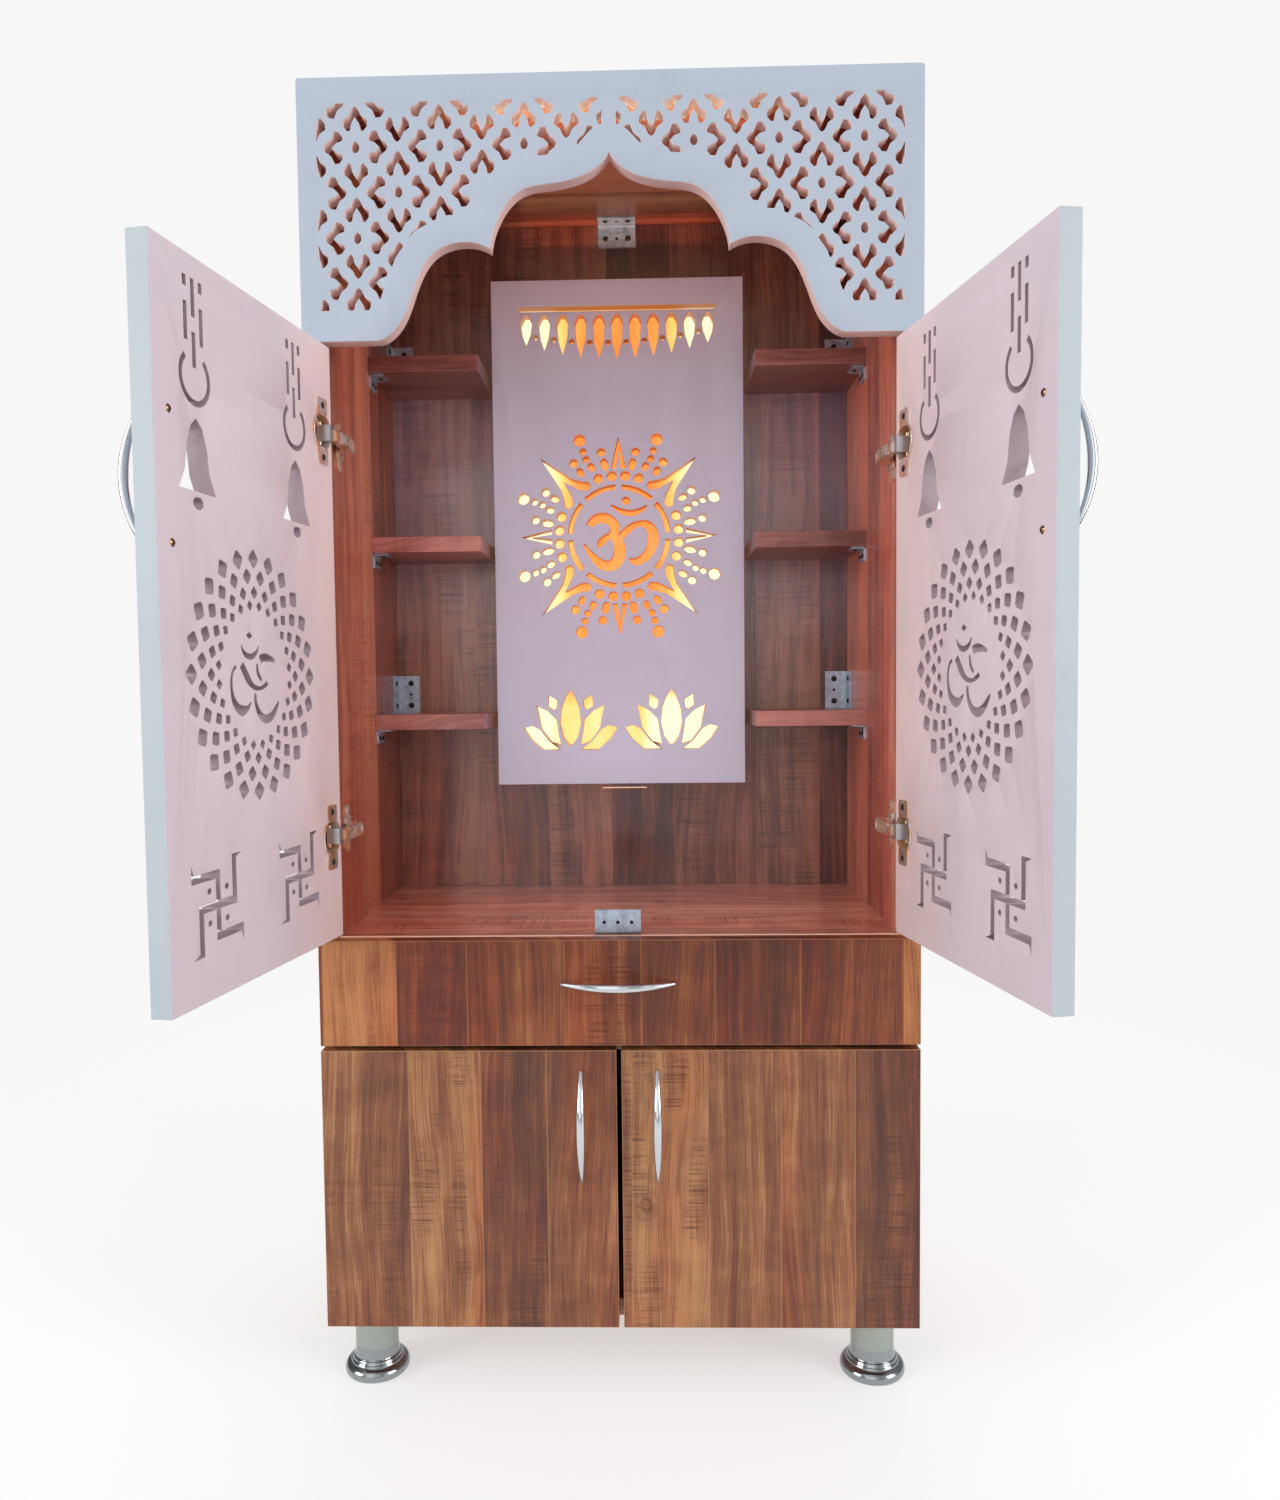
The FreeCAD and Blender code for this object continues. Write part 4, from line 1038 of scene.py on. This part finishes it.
def addCup(work, spec, face, height, matrix):
    # local Z runs out of the cup's mouth, and local Y up
    mouth = Matrix(((1, 0, 0, spec["centre"]), (0, 0, 1, face), (0, 1, 0, height), (0, 0, 0, 1)))
    place = matrix @ mouth
    radius, deep = spec["cupRadius"], spec["cupDepth"]
    bowl = ((0.0, -deep), (radius - 1.5, -deep), (radius, -deep + 1.5), (radius, -0.2), (radius + 0.6, 0.1),
            (radius + 1, 0.5), (radius + 0.8, 1.1), (radius + 0.2, 1.5), (radius - 0.6, 1.4), (radius - 1, 0.8),
            (radius - 1, -deep + 2.6), (radius - 2.6, -deep + 1), (0.0, -deep + 1))
    addLathe(work, bowl, place, 40)
    halfX, halfY = spec["wingHalf"]
    tall = spec["wingTall"]
    for end in (-1, 1):
        wing = place @ Matrix.Translation((0, end * (halfY - tall), 0))
        addPlate(work, roundedRectangle(halfX, tall, spec["wingRound"]), 0.0, spec["wingThickness"], wing)
    pin = place @ Matrix.Translation((spec["pin"], 0, -deep / 2)) @ Matrix.Rotation(math.pi / 2, 4, "X")
    thick, reach = spec["pinSize"]
    addLathe(work, ((thick, -reach), (thick, reach)), pin, 12)


def addArm(work, spec, tip, height, matrix):
    face, cut = spec["armFace"], spec["armBevel"]
    rings = []
    for along, out, side in armStations:
        y = tip + along
        outline = ((0, -side), (out - cut, -side), (out, cut - side), (out, side - cut), (out - cut, side),
                   (0, side))
        rings.append([(face + x, y, height + z) for x, z in outline])
    addRings(work, rings, matrix)
    wall, tall, bend = spec["plateWall"], spec["plateHalf"], spec["plateRound"]
    front, rear = spec["plateSpan"]
    half, thick = spec["blockHalf"], spec["blockThickness"]
    far = (face + 0.2, tip + spec["armReach"] - 1, height + spec["armHalf"])
    addBlock(work, (wall, front, height - spec["armHalf"]), far, matrix, spec["rounding"]["arm"])
    addBlock(work, (wall, front, height - half), (wall + thick, rear, height + half), matrix,
             spec["rounding"]["block"])
    # the wall plate is a slot shape: half a round at its top and half at its foot
    middle = (front + rear) / 2
    outline = []
    for foot in (0, 1):
        for i in range(13):
            t = math.pi * i / 12 + math.pi * foot
            outline.append((middle + bend * math.cos(t), (1 - 2 * foot) * (tall - bend) + bend * math.sin(t)))
    upright = matrix @ Matrix(((0, 0, 1, wall), (1, 0, 0, 0), (0, 1, 0, height), (0, 0, 0, 1)))
    addPlate(work, outline, 0.0, spec["plateThickness"], upright)


armScrews = dict(bracketScrews, radius=hingeSpec["armScrew"], finish=nickel)
wingScrews = dict(bracketScrews, radius=hingeSpec["wingScrew"])
plateY, plateRise = hingeSpec["plateScrews"]
plateX = hingeSpec["plateWall"] + hingeSpec["plateThickness"]
for label, (heightsBySide, bodies, standsOpen) in hingeRows.items():
    armWork = bmesh.new()
    armSpots = []
    leafFace = innerFace[label]
    wingY = leafFace + hingeSpec["wingThickness"]
    tip = leafFace - hingeSpec["cupDepth"] + hingeSpec["tipInset"]
    for side, matrix in sideMatrix.items():
        leafMatrix = matrix @ swingLeft if standsOpen else matrix
        work = bmesh.new()
        wingSpots = []
        for height in heightsBySide[side]:
            addCup(work, hingeSpec, leafFace, height, toFrame @ leafMatrix)
            addArm(armWork, hingeSpec, tip, height, toFrame @ matrix)
            for end in (-1, 1):
                wingPlace = (hingeSpec["centre"], wingY, height + end * hingeSpec["screwRise"])
                wingSpots.append((leafMatrix, wingPlace, toBack))
                armSpots.append((matrix, (plateX, plateY, height + end * plateRise), toRight))
            for along, out in hingeSpec["armScrews"]:
                armSpots.append((matrix, (hingeSpec["armFace"] + out, tip + along, height), toRight))
        # the links take the darker satin nickel: partly its satin finish, partly painted shade over the cups'
        # mouths
        if standsOpen:
            cupFaces = len(work.faces)
            (x0, y0), (x1, y1), half = hingeSpec["link"]
            for height in heightsBySide[side]:
                addBlock(work, (x0, y0, height - half), (x1, y1, height + half), toFrame @ matrix,
                         hingeSpec["rounding"]["link"])
            work.faces.ensure_lookup_table()
            for face in work.faces[cupFaces:]:
                face.material_index = 1
        finishPiece(f"{side}{label.capitalize()}HingeCups", work, [nickel, satinNickel], bodies[side],
                    [f"{side}_{label}_door_hinge_cups"])
        scatter(f"{side}{label.capitalize()}WingScrews", screwHead, wingScrews, wingSpots, bodies[side])
    finishPiece(f"{label}HingeArms", armWork, [nickel], "cabinet", [f"{label}_hinge_arms"])
    scatter(f"{label}ArmScrews", screwHead, armScrews, armSpots, "cabinet")
print("hinges made")


# floor, backdrop, lamps and camera
stageSpec = {"floorSize": 9.0, "floorTone": 0.5, "showWhite": 0.52, "backdrop": 0.93, "near": 0.7, "far": 2.2}


def addStage(spec):
    half = spec["floorSize"] / 2
    mesh = bpy.data.meshes.new("floor")
    corners = [(-half, -half, 0), (half, -half, 0), (half, half, 0), (-half, half, 0)]
    mesh.from_pydata(corners, [], [(0, 1, 2, 3)])
    floor = placeObject("floor", mesh)
    material, tree, shader, place = startMaterial("floorWhite", 0.7)
    rays = addNode(tree, "ShaderNodeLightPath")
    seen = calc(tree, "MAXIMUM", rays.outputs["Is Camera Ray"], rays.outputs["Is Glossy Ray"])
    seen = calc(tree, "MAXIMUM", seen, rays.outputs["Is Transmission Ray"])
    # far from the object the floor gives way to the plain backdrop tone, so that no horizon shows
    reach = addNode(tree, "ShaderNodeVectorMath", {0: place.outputs["Object"]}, operation="LENGTH").outputs[1]
    away = smoothStep(tree, reach, spec["near"], spec["far"])
    tone = calc(tree, "MULTIPLY", calc(tree, "SUBTRACT", 1.0, away), spec["floorTone"])
    tree.links.new(addNode(tree, "ShaderNodeCombineColor", {0: tone, 1: tone, 2: tone}).outputs[0],
                   shader.inputs["Base Color"])
    shown = calc(tree, "MULTIPLY_ADD", away, spec["backdrop"] - spec["showWhite"], spec["showWhite"])
    shader.inputs["Emission Color"].default_value = (1, 1, 1, 1)
    shader.inputs["Specular IOR Level"].default_value = 0.0
    tree.links.new(calc(tree, "MULTIPLY", seen, shown), shader.inputs["Emission Strength"])
    mesh.materials.append(material)


worldSpec = {"ambient": 0.6, "backdrop": 0.93, "front": 0.95, "elsewhere": 0.3, "frontEdges": (0.2, -0.7),
             "panes": 6.0, "paneDepth": 0.5, "paneEdges": (-0.4, 0.4), "horizon": (-0.25, 0.1),
             "horizonShare": (0.6, 0.4)}


def addWorld(spec):
    world = bpy.data.worlds.new("studio")
    world.use_nodes = True
    tree = world.node_tree
    tree.nodes.clear()
    rays = addNode(tree, "ShaderNodeLightPath")
    sky = addNode(tree, "ShaderNodeTexCoord").outputs["Generated"]
    across, inward, up = addNode(tree, "ShaderNodeSeparateXYZ", {0: sky}).outputs
    # mirrors see a bright front with upright panes, a darker rest and a dark low horizon
    front = smoothStep(tree, inward, *spec["frontEdges"])
    level = calc(tree, "MULTIPLY_ADD", front, spec["front"] - spec["elsewhere"], spec["elsewhere"])
    panes = calc(tree, "SINE", calc(tree, "MULTIPLY", across, spec["panes"]))
    panes = smoothStep(tree, panes, *spec["paneEdges"])
    level = calc(tree, "MULTIPLY", level, calc(tree, "MULTIPLY_ADD", panes, -spec["paneDepth"], 1.0))
    horizon = smoothStep(tree, up, *spec["horizon"])
    level = calc(tree, "MULTIPLY", level, calc(tree, "MULTIPLY_ADD", horizon, *spec["horizonShare"]))
    values = {0: rays.outputs["Is Glossy Ray"], 2: spec["ambient"], 3: level}
    seenLevel = addNode(tree, "ShaderNodeMix", values, data_type="FLOAT").outputs[0]
    values = {0: rays.outputs["Is Camera Ray"], 2: seenLevel, 3: spec["backdrop"]}
    seenLevel = addNode(tree, "ShaderNodeMix", values, data_type="FLOAT").outputs[0]
    light = addNode(tree, "ShaderNodeBackground", {"Color": (1, 1, 1, 1), "Strength": seenLevel})
    output = addNode(tree, "ShaderNodeOutputWorld")
    tree.links.new(light.outputs[0], output.inputs[0])
    bpy.context.scene.world = world


def addLamp(name, place, aim, size, power, color=(1, 1, 1), mirrored=True):
    data = bpy.data.lights.new(name, "AREA")
    data.shape = "RECTANGLE"
    data.size, data.size_y = size
    data.energy = power
    data.color = color
    lamp = placeObject(name, data)
    lamp.location = place
    lamp.visible_glossy = mirrored
    lamp.rotation_euler = (Vector(aim) - Vector(place)).to_track_quat("-Z", "Y").to_euler()


lamps = {
    # name: place, aim, size, power, then colour and whether mirrors show it
    "frontLamp": ((-0.4, -3.0, 1.6), (0, 0, 0.8), (2.6, 2.2), 8),
    "leftLamp": ((-3.2, -1.7, 1.5), (0, 0, 0.8), (1.6, 1.8), 62),
    "rightLamp": ((3.2, -1.7, 1.5), (0, 0, 0.8), (1.6, 1.8), 62),
    "shrineFill": ((0.0, 0.0, 0.82), (0.0, 0.3, 0.8), (0.5, 0.6), 1.3, (1.0, 0.95, 0.92), False),
    "backLamp": ((0.2, 2.6, 2.2), (0, 0, 0.8), (2.4, 1.6), 18),
    "archGlow": ((0, 0.04, 1.27), (0, 0.04, 1.3), (0.3, 0.04), 0.17, (1.0, 0.94, 0.6)),
    "panelTopGlow": ((0, 0.282, 1.28), (0, 0.282, 1.3), (0.24, 0.01), 0.022, (1.0, 0.5, 0.2)),
}
cameraSpec = {
    "place": (0.03052, -1.13632, 0.72499),
    "yaw": -1.468,
    "pitch": 2.986,
    "roll": 0.638,
    "lens": 26.847,
    "sensor": 36,
    "shift": (0.01504, -0.00098),
    "nearest": 0.01,
}


def addCamera(spec):
    yaw, pitch, roll = (math.radians(spec[key]) for key in ("yaw", "pitch", "roll"))
    forward = Vector((math.sin(yaw) * math.cos(pitch), math.cos(yaw) * math.cos(pitch), -math.sin(pitch)))
    level = Vector((math.cos(yaw), -math.sin(yaw), 0))
    down = forward.cross(level)
    right = level * math.cos(roll) + down * math.sin(roll)
    down = down * math.cos(roll) - level * math.sin(roll)
    data = bpy.data.cameras.new("camera")
    data.sensor_fit = "VERTICAL"
    data.sensor_height = spec["sensor"]
    data.lens = spec["lens"]
    data.shift_x, data.shift_y = spec["shift"]
    data.clip_start = spec["nearest"]
    camera = placeObject("camera", data)
    turn = Matrix((right, -down, -forward)).transposed()
    camera.matrix_world = Matrix.Translation(spec["place"]) @ turn.to_4x4()
    bpy.context.scene.camera = camera


addStage(stageSpec)
addWorld(worldSpec)
for name, spec in lamps.items():
    addLamp(name, *spec)
addCamera(cameraSpec)
bpy.context.scene.view_settings.view_transform = "Standard"
print("stage, lamps and camera placed")
